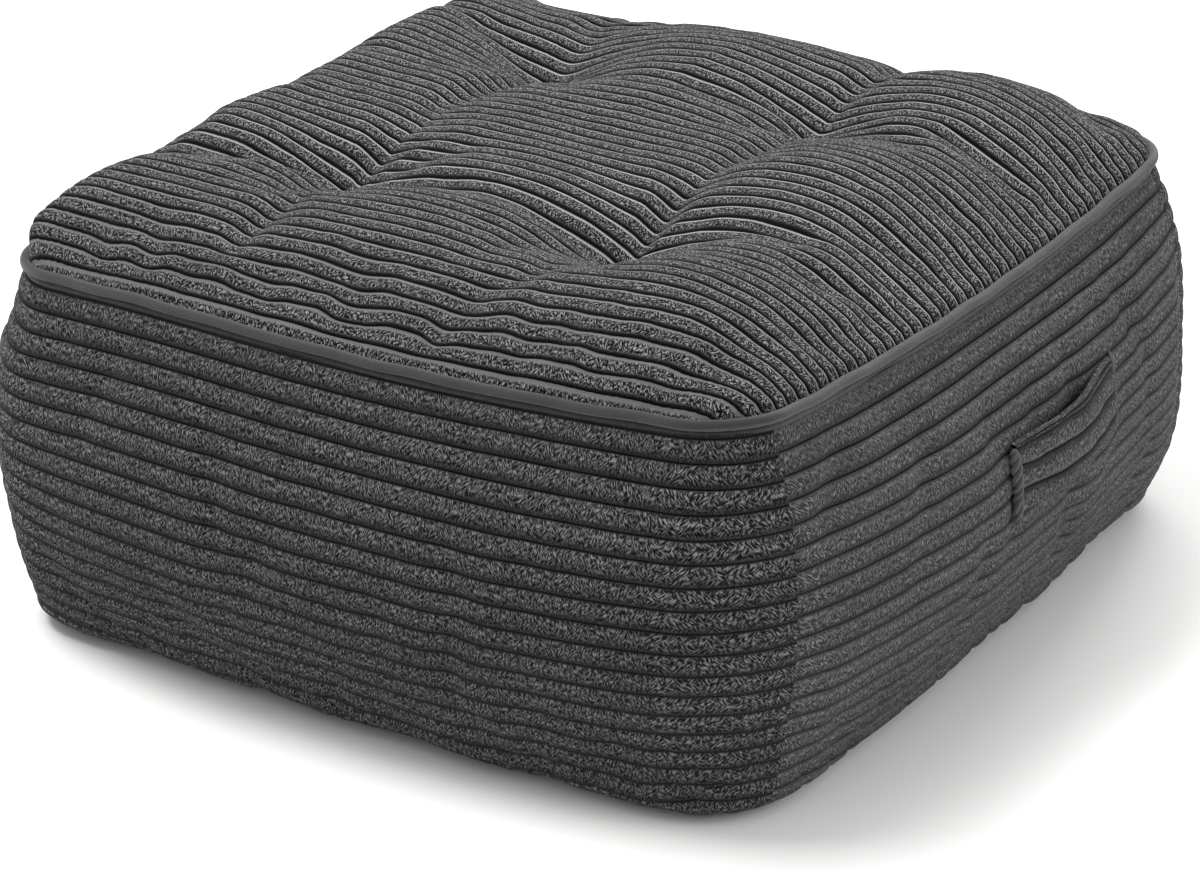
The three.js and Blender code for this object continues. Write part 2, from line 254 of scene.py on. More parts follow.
def pressOut():
    # places on the cushion, and how far the pressed-out cloth stands from them
    shell = addObject("fillingShell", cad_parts["cushion"].data.copy())
    weld = shell.modifiers.new("weld", "WELD")
    weld.merge_threshold = filling["weld"]
    remesh = shell.modifiers.new("remesh", "REMESH")
    remesh.mode, remesh.voxel_size = "VOXEL", filling["voxel"]
    graph = bpy.context.evaluated_depsgraph_get()
    even = bpy.data.meshes.new_from_object(shell.evaluated_get(graph))
    shell.modifiers.clear()
    shell.data = even
    places, normals = rowsOf(even.vertices, "co"), rowsOf(even.vertices, "normal")
    pins = shell.vertex_groups.new(name="pins")
    for number in np.flatnonzero(pinned(places)):
        pins.add([int(number)], 1.0, "REPLACE")
    cloth = shell.modifiers.new("cloth", "CLOTH")
    settings = cloth.settings
    for name, value in filling["cloth"].items():
        setattr(settings, name, value)
    settings.shrink_min = filling["looseness"]
    settings.use_pressure = True
    settings.uniform_pressure_force = filling["pressure"]
    settings.vertex_group_mass = "pins"
    settings.effector_weights.gravity = 0
    cloth.point_cache.frame_start, cloth.point_cache.frame_end = 1, filling["frames"]
    scene = bpy.context.scene
    for number in range(1, filling["frames"] + 1):
        scene.frame_set(number)
    after = rowsOf(shell.evaluated_get(bpy.context.evaluated_depsgraph_get()).to_mesh().vertices, "co")
    moved = ((after - places) * normals).sum(axis=1)
    bpy.data.objects.remove(shell)
    scene.frame_set(1)
    tree = KDTree(len(places))
    for number, place in enumerate(places):
        tree.insert(place, number)
    tree.balance()
    return tree, moved


def blurred(field, reach):
    kernel = np.hanning(2 * reach + 3)[1:-1]
    kernel /= kernel.sum()
    for axis in (0, 1):
        field = np.apply_along_axis(
            lambda row: np.convolve(np.pad(row, reach, mode="edge"), kernel, "valid"), axis, field)
    return field


def creasesOn(form):
    # how far each point of a panel's filled form moves out
    if pressed is None:
        return np.zeros(form.shape[:2])
    tree, moved = pressed
    rows, cols = (np.linspace(0, count - 1, filling["cells"] + 1) for count in form.shape[:2])
    read = np.zeros((len(rows), len(cols)))
    for i, row in enumerate(np.round(rows).astype(int)):
        for j, col in enumerate(np.round(cols).astype(int)):
            near = tree.find_n(form[row, col], filling["neighbours"])
            weights = np.array([1 / (gap + filling["voxel"] / 2) for _, _, gap in near])
            read[i, j] = sum(moved[number] * w for (_, number, _), w in zip(near, weights)) / weights.sum()
    broad = blurred(read, filling["blur"])
    read = blurred(read - broad * (1 - filling["keptSwelling"]), 1)
    cap = filling["cap"]
    read = cap * np.tanh(read / cap)
    wide = np.array([np.interp(np.arange(form.shape[1]), cols, line) for line in read])
    return np.array([np.interp(np.arange(form.shape[0]), rows, line) for line in wide.T]).T


# Corduroy: rounded wales between narrow grooves.
wale = {
    "stations": (0, 0.05, 0.12, 0.24, 0.44, 0.64, 0.80, 0.89, 0.95),  # over one wale, 0 in the groove
    "roundness": 0.55,
    "lumpLength": 0.011,  # the pile swells and thins along a wale
    "lumpShare": 0.16,
}


def waleShape(phase, squareness, roundness):
    # 0 in a groove, 1 along the top of a wale
    t = phase - np.floor(phase)
    return np.maximum(0, 1 - np.abs(2 * t - 1) ** squareness) ** roundness


def waleRelief(phase, along, panel, seed):
    # from the bottom of a groove to the top of a wale, measured from the filled form
    lumps = unevenness(along / wale["lumpLength"], np.floor(phase) + 0.5, seed)
    height = waleShape(phase, panel["squareness"], wale["roundness"]) * (1 + wale["lumpShare"] * lumps)
    return height * (panel["waleRise"] + panel["grooveDrop"]) - panel["grooveDrop"]


def waleRows(first, last):
    # wale phases for the rows of a grid, with rows in every groove
    phases = [k + t for k in range(math.floor(first), math.ceil(last)) for t in wale["stations"]]
    inside = [p for p in phases if first + 0.02 < p < last - 0.02]
    return np.array([first, *inside, last])


# Top panel: crown of filling, pulled down by four tufts.
top = {
    "crown": 0.053,
    "tiltRight": -0.008,  # the crown is uneven: lower at the handle side
    "tiltBack": 0.006,  # and higher at the back
    "twist": -0.003,
    "frontCornerFill": 1.0,  # 0 lets the crown fall away at a corner, 1 fills it
    "backCornerFill": 0.0,
    "cornerRoundness": 3,
    "lobeWidth": 0.061,
    "lobeEdge": 3,  # larger keeps the lobes' full rise nearer to the seam
    "creaseRunOut": 1.8,  # how quickly a crease gets shallower away from its ends
    "creaseSharpness": 1.1,
    "seamEase": 0.1,  # the creases run out over this outer share
    "sagEase": 0.2,  # and the hanging corner over this one
    "leastRise": 0.003,  # the cloth stays above its seam
    "cornerEase": 0.012,
    "mostRise": 0.070,  # and no higher than this, less near the seam
    "wales": 51.5,
    "columns": 214,
    "edgeColumns": 0.42,  # how much closer the columns stand near both sides
    "waleRise": 0.0013,  # wales stand this far out of the filled form
    "grooveDrop": 0.0018,
    "squareness": 4.5,  # larger makes the wales flatter on top
    "tuck": 0.003,  # the edge is pulled down under the piping
    "tuckWidth": 0.007,
    "puckerDepth": 0.0019,  # beside the front piping
    "puckerLength": 0.020,
    "puckerReach": 0.030,
    "puckerSpread": 0.05,
    "swell": 0.0006,  # gentle unevenness all over, and its size both ways
    "swellSize": (0.05, 0.03),
    "waver": 0.0030,  # the grooves waver beside the front piping: metres and wales
    "waverSize": (0.017, 2.2),
    "waverReach": 0.055,
    "farWaver": 0.0005,  # and a little everywhere
    "farWaverSize": (0.06, 2),
    "edgeFade": (0.0005, 0.0045),  # distances from the seam over which the relief sets in
    "creaseFade": (0.004, 0.022),
    "waverFade": (0.002, 0.02),
    "waleWidth": 0.0124,
    "samples": 900,  # steps for the walk over the crown, front to back
}
rises = {  # filling behind each side: reach in metres, and power
    "left": (0.070, 5.6),
    "right": (0.151, 2.5),
    "front": (0.275, 6.3),
    "back": (0.219, 4.2),
}
lobes = {  # place of each of the nine lobes, and how much fuller it is
    "frontLeft": (-0.185, -0.190, -0.0075),
    "frontMiddle": (-0.005, -0.190, -0.003),
    "frontRight": (0.175, -0.190, 0.012),
    "left": (-0.190, 0.005, -0.010),
    "middle": (-0.010, 0.000, -0.0105),
    "right": (0.170, 0.000, 0.011),
    "backLeft": (-0.190, 0.190, -0.012),
    "backMiddle": (-0.015, 0.190, 0.006),
    "backRight": (0.165, 0.190, 0.0115),
}
tufts = {  # place, and depth below the crown
    "frontLeft": (-0.118, -0.109, 0.032),
    "frontRight": (0.080, -0.114, 0.039),
    "backLeft": (-0.122, 0.118, 0.040),
    "backRight": (0.082, 0.104, 0.028),
}
creaseEnds = {  # where the creases towards the sides run out
    "frontSideLeft": (-0.104, -0.250, 0.0),
    "frontSideRight": (0.092, -0.254, 0.0),
    "backSideLeft": (-0.116, 0.268, 0.003),
    "backSideRight": (0.086, 0.268, 0.0),
    "leftSideFront": (-0.250, -0.150, 0.011),
    "leftSideBack": (-0.250, 0.106, 0.002),
    "rightSideFront": (0.250, -0.112, 0.0),
    "rightSideBack": (0.250, 0.106, 0.0),
}
creaseColumns = ("from", "to", "width", "middle")
creases = [
    ("frontLeft", "backLeft", 0.036, 0.0105),
    ("frontRight", "backRight", 0.036, 0.010),
    ("frontLeft", "frontRight", 0.046, 0.010),
    ("backLeft", "backRight", 0.046, 0.001),
    ("frontLeft", "frontSideLeft", 0.036, 0.0095),
    ("frontRight", "frontSideRight", 0.036, 0.0045),
    ("backLeft", "backSideLeft", 0.036, 0.005),
    ("backRight", "backSideRight", 0.036, 0.009),
    ("frontLeft", "leftSideFront", 0.046, 0.012),
    ("backLeft", "leftSideBack", 0.046, 0.004),
    ("frontRight", "rightSideFront", 0.046, 0.004),
    ("backRight", "rightSideBack", 0.046, 0.005),
]


def risen(distance, behind):
    reach, power = rises[behind]
    return 1 - (1 - np.clip(distance / reach, 0, 1)) ** power


def creaseDepth(row, x, y):
    crease = dict(zip(creaseColumns, row))
    places = {**tufts, **creaseEnds}
    start, end = places[crease["from"]], places[crease["to"]]
    run = np.array(end[:2]) - np.array(start[:2])
    share = np.clip(((x - start[0]) * run[0] + (y - start[1]) * run[1]) / (run @ run), 0, 1)
    away = np.hypot(x - start[0] - share * run[0], y - start[1] - share * run[1])
    nearStart = np.maximum(0, 1 - 2 * share) ** top["creaseRunOut"]
    nearEnd = np.maximum(0, 2 * share - 1) ** top["creaseRunOut"]
    middle = crease["middle"]
    depth = middle + (start[2] - middle) * nearStart + (end[2] - middle) * nearEnd
    return depth * np.exp(-((away / crease["width"]) ** top["creaseSharpness"]))


def crownLevel(x, y):
    u, v = x / halfWidth, y / halfDepth
    across = risen(halfWidth + x, "left") * risen(halfWidth - x, "right")
    deep = risen(halfDepth + y, "front") * risen(halfDepth - y, "back")
    roundness = top["cornerRoundness"]
    filled = np.maximum(0, 1 - ((1 - across) ** roundness + (1 - deep) ** roundness) ** (1 / roundness))
    fill = top["frontCornerFill"] + (top["backCornerFill"] - top["frontCornerFill"]) * (v + 1) / 2
    full = top["crown"] + top["tiltRight"] * u + top["tiltBack"] * v + top["twist"] * u * v
    rise = sum(height * np.exp(-((x - px) ** 2 + (y - py) ** 2) / (2 * top["lobeWidth"] ** 2))
               for px, py, height in lobes.values())
    return full * (across * deep * (1 - fill) + filled * fill) \
        + rise * np.minimum(1, top["lobeEdge"] * np.minimum(across, deep))


def topLevel(x, y):
    pull = np.max([creaseDepth(row, x, y) for row in creases], axis=0)
    edge = 1 - np.maximum(np.abs(x) / halfWidth, np.abs(y) / halfDepth)
    held = cornerSag(x, y) * eased(edge, 0, top["sagEase"])
    above = held + crownLevel(x, y) - pull * eased(edge, 0, top["seamEase"])
    # at the rounded corners too the cloth starts from the seam
    inset = seamDistance(x, y)
    least = top["leastRise"] * eased(inset, 0, top["cornerEase"])
    return seamLevel(x, y) + np.clip(above, least, np.maximum(least, top["mostRise"] * risen(inset, "left")))


def topOutline(y, u):
    # half width of the top at y, before the sides bow; u is below 0 on the left half
    radii = pillow["radii"]
    front, back = (radii[0], radii[3]) if u < 0 else (radii[1], radii[2])
    half = np.full_like(y, halfWidth)
    for radius, gap in ((front, y + halfDepth), (back, halfDepth - y)):
        inward = np.clip(radius - gap, 0, radius)
        half -= radius - np.sqrt(radius ** 2 - inward ** 2)
    return half


def topForm(us, qs):
    # filled form of the top; us run -1 to 1 across, qs run 0 to 1 over the cloth from front to back
    y0 = np.linspace(-halfDepth, halfDepth, top["samples"])
    points = np.zeros((len(qs), len(us), 3))
    for column, u in enumerate(us):
        x, y = bowed(u * topOutline(y0, u), y0)
        z = topLevel(x, y)
        walked = np.concatenate([[0], np.cumsum(np.hypot(np.diff(y), np.diff(z)))])
        at = np.interp(qs, walked / walked[-1], y0)
        points[:, column, 0], points[:, column, 1] = bowed(u * topOutline(at, u), at)
    points[..., 2] = topLevel(points[..., 0], points[..., 1])
    return points


def seamDistance(x, y):
    # distance in from the seam line, seen from above
    line, outward = seamTable[1:3].T[::4], seamTable[3:5].T[::4]
    flat = stacked(x.ravel(), y.ravel())
    nearest = np.full(len(flat), 1.0)
    near = np.maximum(np.abs(flat[:, 0]) / halfWidth, np.abs(flat[:, 1]) / halfDepth) > 0.75
    for chunk in np.array_split(np.flatnonzero(near), 60):
        closest = ((flat[chunk, None, :] - line[None, :, :]) ** 2).sum(axis=2).argmin(axis=1)
        nearest[chunk] = np.maximum(0, ((line[closest] - flat[chunk]) * outward[closest]).sum(axis=1))
    return nearest.reshape(x.shape)


def makeTop():
    phases = waleRows(0, top["wales"])
    even = np.linspace(-1, 1, top["columns"] + 1)
    us = even * (1 - top["edgeColumns"]) + np.sin(even * math.pi / 2) * top["edgeColumns"]
    form = topForm(us, phases / top["wales"])
    x, y = form[..., 0], form[..., 1]
    inset = seamDistance(x, y)
    along = x / top["waleWidth"]
    phase = np.broadcast_to(phases[:, None], x.shape)
    normal = outwardOf(form)
    frontGap = y + halfDepth
    pucker = unevenness(x / top["puckerLength"], frontGap / top["puckerSpread"], 11) \
        * np.exp(-(frontGap / top["puckerReach"]) ** 2)
    lift = top["puckerDepth"] * pucker + top["swell"] * unevenIn(x, y, top["swellSize"], 12)
    rise = waleRelief(phase, x, top, 13)
    edge = eased(inset, *top["edgeFade"])
    creasing = creasesOn(form) * eased(inset, *top["creaseFade"])
    points = form + normal * (lift + rise + creasing)[..., None] * edge[..., None]
    points[..., 2] -= top["tuck"] * (1 - eased(inset, 0, top["tuckWidth"]))
    # wavering grooves, more so beside the front piping
    nearFront = np.exp(-(frontGap / top["waverReach"]) ** 2)
    waver = top["waver"] * unevenIn(x, phase, top["waverSize"], 14) * nearFront \
        + top["farWaver"] * unevenIn(x, phase, top["farWaverSize"], 15)
    acrossWales = np.gradient(form, axis=0)
    acrossWales /= np.linalg.norm(acrossWales, axis=2, keepdims=True)
    points += acrossWales * (waver * edge * eased(inset, *top["waverFade"]))[..., None]
    return clothPiece("topPanel", points, stacked(along, phase))


# Side panels: the front and back ones wrap round the corners.
side = {
    "base": 0.040,  # the flat base stops this far inside the seam line
    "baseRound": 0.07,
    "cornerSlack": 0.72,
    "cornerBaseSlack": 0.56,
    "waleWidth": 0.0134,
    "waleRise": 0.0011,
    "grooveDrop": 0.0015,
    "squareness": 2.8,
    "wraps": (0.038, 0.021, 0.030, 0.030),  # front and back panels end this far round the corners
    "band": 0.0062,  # flat seam allowance under the piping
    "under": 0.012,  # the cloth goes this far under the base
    "footHeight": 0.066,  # puckers and wavering wales up to about here
    "drag": 0.9,  # puckers lean over this much for their height
    "seamRound": 0.005,  # wales round off at an upright seam
    "seamDrop": 0.0002,  # the seam lies this deep
    "seamZigzag": 0.0010,
    "seamPhase": 0.47,  # the wales of the front panel set the zigzag
    "zigzagReach": 0.006,
    "clothDepth": 0.297,  # usual length of cloth from the seam to its end under the base
    "profileRows": 220,  # rows for the walk down a side, round its foot and under the base
    "roundRows": 60,
    "underRows": 12,
    "underReach": 0.05,
    "bandDrop": 0.0006,  # the flat band lies this much lower than the wales
    "meeting": 0.02,  # puckers fade out here, so that both panels meet on one line
    "pucker": 0.0018,  # at the foot, and its size both ways
    "puckerSize": (0.050, 0.05),
    "creaseSize": (0.021, 0.06),
    "creaseSharpness": 6,
    "swell": 0.0009,
    "swellSize": (0.07, 0.05),
    "waver": 0.0036,  # the grooves waver at the foot: metres and wales
    "waverSize": (0.030, 3.5),
    "farWaver": 0.0014,  # and a little everywhere
    "farWaverSize": (0.075, 6),
    "pressedHeights": (0.01, 0.07),  # the pressed-out creases set in between these heights
    "lowest": 0.0002,  # no cloth lies lower
}
pulls = {  # where the cloth of the handle side is dragged up behind a slanting line
    "y": 0.083,  # a point on that line
    "z": 0.105,
    "lean": 0.30,  # the line moves back this much for its height
    "lift": 0.0046,
    "width": 0.009,
    "reach": 0.050,
    "tall": 0.034,
    "drift": 0.0042,  # below it the wales wander this far
    "driftHeight": 0.6,  # share of z
    "driftFrom": (0.0, 0.07),
    "driftSize": (0.042, 4.2),
    "driftDrag": 0.07,
}
sideProfile = np.array([  # share of the height, and how far the side stands out
    (0.07, 0.0145),
    (0.20, 0.027),
    (0.45, 0.043),
    (0.75, 0.035),
    (1.00, 0.000),
])
footBulge = {"slack": 0.5, "share": 0.16, "width": 0.2}  # fuller foot at the back right corner


def profileOut(share):
    # a smooth curve through the rows of the profile
    shares, outs = sideProfile.T
    last = len(shares) - 1
    before, after = np.maximum(np.arange(last + 1) - 1, 0), np.minimum(np.arange(last + 1) + 1, last)
    slopes = (outs[after] - outs[before]) / (shares[after] - shares[before])
    row = np.clip(np.searchsorted(shares, share, side="right") - 1, 0, last - 1)
    gap = shares[row + 1] - shares[row]
    t = (share - shares[row]) / gap
    return ((2 * t ** 3 - 3 * t ** 2 + 1) * outs[row] + (t ** 3 - 2 * t ** 2 + t) * slopes[row] * gap
            + (3 * t ** 2 - 2 * t ** 3) * outs[row + 1] + (t ** 3 - t ** 2) * slopes[row + 1] * gap)


def cornerShare(x, y):
    # 0 along the sides, near 1 at a corner
    return np.abs((x / halfWidth) ** 3 * (y / halfDepth) ** 3)


def cornerFill(x, y, share):
    # the sides stand out less at a corner, but the back right foot is fuller
    foot = np.where((x > 0) & (y > 0), footBulge["slack"], 0) \
        * np.exp(-((share - footBulge["share"]) / footBulge["width"]) ** 2)
    return 1 - cornerShare(x, y) * (side["cornerSlack"] - foot)


def sideOut(x, y, share):
    # how far a side stands out from the seam line, above and round its foot
    turn = side["baseRound"]
    full = profileOut(np.maximum(share, turn)) * cornerFill(x, y, share)
    atRound = profileOut(np.full_like(share, turn)) * cornerFill(x, y, turn)
    inset = -side["base"] * (1 - cornerShare(x, y) * side["cornerBaseSlack"])
    rounded = np.sqrt(np.clip(1 - (1 - share / turn) ** 2, 0, 1))
    return np.where(share >= turn, full, inset + (atRound - inset) * rounded)


def sideColumns(s):
    # for each place round the seam: outward places, heights and distances down from the seam
    x, y = (row[None, :] for row in onSeam(s)[:2])
    turn = side["baseRound"]
    share = np.concatenate([np.linspace(1, turn, side["profileRows"]),
                            turn * np.linspace(1, 0, side["roundRows"])[1:] ** 2])[:, None]
    share = np.broadcast_to(share, (share.shape[0], x.shape[1]))
    out = sideOut(np.broadcast_to(x, share.shape), np.broadcast_to(y, share.shape), share)
    z = share * seamLevel(x, y)
    foot = len(z) - 1
    under = np.linspace(0, side["underReach"], side["underRows"])[1:, None]
    out = np.concatenate([out, out[-1:] - under])
    z = np.concatenate([z, np.zeros((len(under), x.shape[1]))])
    steps = np.hypot(np.diff(out, axis=0), np.diff(z, axis=0))
    down = np.concatenate([np.zeros((1, x.shape[1])), np.cumsum(steps, axis=0)])
    return out, z, down, foot


def sideForm(s, shares):
    # filled form of the sides; shares run 0 at the seam to 1 under the base
    out, z, down, foot = sideColumns(s)
    x, y, outX, outY = onSeam(s)
    ends = down[foot] + side["under"]
    depth = shares[:, None] * side["clothDepth"] + (ends - side["clothDepth"])[None, :] * shares[:, None] ** 3
    points = np.zeros((len(shares), len(s), 3))
    for column in range(len(s)):
        reach = np.interp(depth[:, column], down[:, column], out[:, column])
        points[:, column, 0] = x[column] + outX[column] * reach
        points[:, column, 1] = y[column] + outY[column] * reach
        points[:, column, 2] = np.interp(depth[:, column], down[:, column], z[:, column])
    return points, depth


def sideRise(phase, run, fromSeam, band, seed):
    # wales round off at the upright seams and start below the flat band
    rise = waleRelief(phase, run, side, seed)
    corner = 1 - np.clip(fromSeam / side["seamRound"], 0, 1)
    roundOff = np.sqrt(np.clip(1 - corner ** 2, 0, 1))
    rise = (rise + side["seamDrop"]) * roundOff - side["seamDrop"]
    return rise * band - side["bandDrop"] * (1 - band)


def footPuckers(run, height, seed):
    # soft puckers and sharper creases, leaning over
    drag = run + side["drag"] * height
    wide, tall = side["puckerSize"]
    soft = unevenness(drag / wide, height / tall + 3, seed + 1)
    wide, tall = side["creaseSize"]
    sharp = (1 - np.abs(unevenness(drag / wide, height / tall + 3, seed + 5))) ** side["creaseSharpness"]
    return side["pucker"] * soft - side["pucker"] * sharp


def handlePulls(form, run, phase, free, seed):
    # how far the wales behind and below the handle are dragged up or down
    y, height = form[..., 1], form[..., 2]
    behind = y - pulls["y"] - pulls["lean"] * (height - pulls["z"])
    fade = np.exp(-(behind / pulls["reach"]) ** 2 - ((height - pulls["z"]) / pulls["tall"]) ** 2)
    dragged = pulls["lift"] * np.tanh(behind / pulls["width"]) * fade
    low = np.exp(-((height - pulls["z"] * pulls["driftHeight"]) / pulls["tall"]) ** 2) \
        * eased(y, *pulls["driftFrom"])
    wide, tall = pulls["driftSize"]
    wander = unevenness(run / wide + height / pulls["driftDrag"], phase / tall, seed + 6)
    return dragged, pulls["drift"] * wander * low * free


def makeSide(name, start, end, columns, shift, seed):
    wales = side["clothDepth"] / side["waleWidth"]
    phases = waleRows(shift, wales + shift)[::-1]  # rows go up from the base
    shares = (phases - shift) / wales
    s = np.linspace(start, end, columns + 1)
    form, depth = sideForm(s, shares)
    normal = outwardOf(form)
    phase = np.broadcast_to(phases[:, None], depth.shape)
    run = np.broadcast_to(s[None, :], depth.shape)
    fromSeam = np.minimum(run - start, end - run)
    height = form[..., 2]
    edge = side["band"]
    band = eased(depth, edge - 0.001, edge + 0.004)
    rise = sideRise(phase, run, fromSeam, band, seed)
    free = eased(fromSeam, 0, side["meeting"])
    foot = np.exp(-(height / side["footHeight"]) ** 2)
    puckers = foot * footPuckers(run, height, seed)
    swell = side["swell"] * unevenIn(run, depth, side["swellSize"], seed + 2)
    creasing = creasesOn(form) * eased(depth, edge, edge + 0.02) * eased(height, *side["pressedHeights"])
    points = form + normal * (rise + (puckers + swell + creasing) * free)[..., None]
    # grooves waver a little, more at the foot
    up = np.gradient(form, axis=0)
    up /= np.maximum(np.linalg.norm(up, axis=2, keepdims=True), 1e-12)
    waver = side["waver"] * foot * unevenIn(run, phase, side["waverSize"], seed + 3) \
        + side["farWaver"] * unevenIn(run, phase, side["farWaverSize"], seed + 4)
    waver *= eased(depth, edge, edge + 0.03) * free
    if name == "handleSidePanel":
        dragged, wander = handlePulls(form, run, phase, free, seed)
        waver = waver + dragged + wander
    points += up * waver[..., None]
    # the seam line zigzags between the wale ends of both panels
    along = np.gradient(form, axis=1)
    along /= np.linalg.norm(along, axis=2, keepdims=True)
    wave = -np.cos(2 * math.pi * (shares[:, None] * wales + side["seamPhase"])) * side["seamZigzag"] * band
    points += along * (wave * np.exp(-(fromSeam / side["zigzagReach"])))[..., None]
    points[..., 2] = np.maximum(points[..., 2], side["lowest"])
    return clothPiece(name, points, stacked(run / side["waleWidth"], phase))


def makeSides():
    frontLeft, frontRight, backRight, backLeft = (
        at + wrap * turn for at, wrap, turn in zip(cornerAt, side["wraps"], (-1, 1, -1, 1)))
    return [
        makeSide("frontPanel", frontLeft, frontRight, 470, 0.47, 31),
        makeSide("handleSidePanel", frontRight, backRight, 380, 0.62, 41),
        makeSide("backPanel", backRight, backLeft, 330, 0.5, 51),
        makeSide("leftPanel", backLeft, seamLength + frontLeft, 280, 0.97, 61),
    ]


# Base panel, lying on the floor inside the side panels.
base = {
    "steps": 360,
    "rings": 40,
    "innermost": 0.001,  # size of the smallest ring, as a share
    "inset": 0.047,
    "grooveLevel": 0.0013,  # the grooves lie higher over the floor than the wales
    "waleRise": 0.0008,
    "squareness": 3,
}


def makeBase():
    s = np.linspace(0, seamLength, base["steps"] + 1)
    x, y, outX, outY = onSeam(s)
    inset = base["inset"] - side["base"] * cornerShare(x, y) * side["cornerBaseSlack"]
    shrink = np.linspace(1, base["innermost"], base["rings"])[::-1, None]
    px, py = (x - outX * inset) * shrink, (y - outY * inset) * shrink
    phase = py / side["waleWidth"] + 0.5
    pz = base["grooveLevel"] - base["waleRise"] * waleShape(phase, base["squareness"], 1)
    return clothPiece("basePanel", stacked(px, py, pz), stacked(px / side["waleWidth"], phase))


# Piping: a cord in smooth cloth, sewn into the top seam.
piping = {
    "radius": 0.0031,
    "out": 0.0014,  # its middle, from the seam line
    "up": 0.0010,
    "steps": 900,
    "sides": 18,
    "wander": 0.0003,
    "wanderLength": 0.2,
    "ribs": 0.03,  # faint ribs, as a share of the radius
    "ribLength": 0.0045,
    "patternLength": 0.01,
}


def cordWander(s, times, row, seed):
    drift = 2 * unevenness(s / piping["wanderLength"], row, seed)
    return piping["wander"] * np.sin(s / seamLength * 2 * math.pi * times + drift)


def makePiping():
    s = np.linspace(0, seamLength, piping["steps"], endpoint=False)
    x, y, outX, outY = (row[:, None] for row in onSeam(s))
    angle = np.linspace(0, 2 * math.pi, piping["sides"] + 1)[None, :]
    ribs = piping["ribs"] * np.sin(s / piping["ribLength"])[:, None] * np.sin(angle + 1)
    radius = piping["radius"] * (1 + ribs)
    out = piping["out"] + cordWander(s, 41, 0.5, 71)[:, None] + radius * np.cos(angle)
    up = piping["up"] + cordWander(s, 29, 1.5, 72)[:, None] + radius * np.sin(angle)
    points = stacked(x + outX * out, y + outY * out, seamLevel(x, y) + up)
    cloth = stacked(s[:, None] / piping["patternLength"], angle / 2)
    return clothPiece("pipingCord", points, cloth, closed=True)


# Seam band: the flat seam allowance that shows under the piping.
seamBand = {
    "section": (  # distance down from the seam, and how proud the cloth lies
        (0.0006, -0.0006), (0.0024, -0.0003), (0.0034, 0.0003),
        (0.0044, 0.0003), (0.0054, -0.0002), (0.0060, -0.0011),
    ),
    "steps": 1500,
    "pucker": 0.00028,
    "puckerSize": (0.0032, 0.006),
    "outShare": 0.8,  # how much of its pride goes outwards, and how much upwards
    "upShare": 0.5,
    "patternLength": 0.01,
}


def makeSeamBand():
    s = np.linspace(0, seamLength, seamBand["steps"], endpoint=False)
    out, z, down, _ = sideColumns(s)
    x, y, outX, outY = onSeam(s)
    rows = []
    for drop, proud in seamBand["section"]:
        reach, level = (np.array([np.interp(drop, down[:, k], places[:, k]) for k in range(len(s))])
                        for places in (out, z))
        puckers = seamBand["pucker"] * unevenIn(s, drop, seamBand["puckerSize"], 81)
        lift = proud + puckers * (proud > 0)
        outward = reach + seamBand["outShare"] * lift
        upward = level + seamBand["upShare"] * lift
        rows.append(stacked(x + outX * outward, y + outY * outward, upward))
    points = np.array(rows[::-1])
    points = np.concatenate([points, points[:, :1]], axis=1)
    roundSeam = np.linspace(0, seamLength / seamBand["patternLength"], points.shape[1])[None, :]
    return clothPiece("seamBand", points, stacked(roundSeam, np.linspace(0, 1, len(points))[:, None]))


# Handle strap: corduroy with a stitched hem along its top, gathered at its front end.
handle = {
    "length": 0.140,
    "width": 0.050,
    "middleY": 0.025,
    "middleZ": 0.135,
    "thickness": 0.0046,
    "reach": 0.0078,
    "clear": 0.0006,
    "steps": 420,
    "wales": 3,
    "hem": 0.15,  # share of the width
    "hemLine": 0.57,  # the stitched line, over the hem
    "squareness": 2.4,
    "roundness": 0.6,
    "grooveHeight": 0.46,  # share of the thickness left in a groove, and what a wale adds
    "waleHeight": 0.54,
    "slide": 0.02,  # the shape of the edges is drawn a little towards the ends
    "bowRise": (-0.04, 0.36),  # shares of the length over which the strap leaves the side
    "bowFall": (0.50, 0.98),  # and comes back to it
    "endThins": (0.93, 1.0),
    "endThinning": 0.55,
    "creaseWaver": 0.0012,
    "creaseLength": 0.016,
    "creasesAcross": 1.3,
    "frontGather": 0.014,  # how far the gathered folds reach from each end
    "backGather": 0.010,
    "fold": 0.0010,
    "foldLength": 0.006,
    "foldsAcross": 2.5,
    "rumple": 0.0006,
    "rumpleSize": (0.022, 1.7),
}
strapColumns = ("share", "bottom", "lowGroove", "highGroove", "hemLine", "top")
strapLines = (  # heights of its edges and grooves, from its front to its back end
    (0.00, 0.1165, 0.1315, 0.1465, 0.1575, 0.1605),
    (0.25, 0.1165, 0.1300, 0.1455, 0.1590, 0.1625),
    (0.50, 0.1195, 0.1295, 0.1450, 0.1590, 0.1635),
    (0.75, 0.1205, 0.1285, 0.1450, 0.1595, 0.1670),
    (0.92, 0.1195, 0.1300, 0.1455, 0.1605, 0.1675),
    (1.00, 0.1200, 0.1345, 0.1495, 0.1610, 0.1630),
)
hemSection = (  # place over the hem, and share of the strap's thickness
    (0.02, 0.42), (0.10, 0.78), (0.22, 0.98), (0.36, 1.00), (0.48, 0.84), (0.54, 0.46),
    (0.60, 0.46), (0.68, 0.90), (0.80, 1.08), (0.92, 0.94), (0.98, 0.66), (1.00, 0.40),
)
strapBack = (
    (0.97, 0.14), (0.90, 0.03), (0.70, 0), (0.50, 0), (0.30, 0), (0.10, 0.03), (0.03, 0.12), (0.0, 0.32),
)


def sideSurfaceX(y, z):
    x = halfWidth - pillow["sideBow"] * (y / halfDepth) ** 2
    return x + sideOut(x, y, z / seamLevel(x, y))


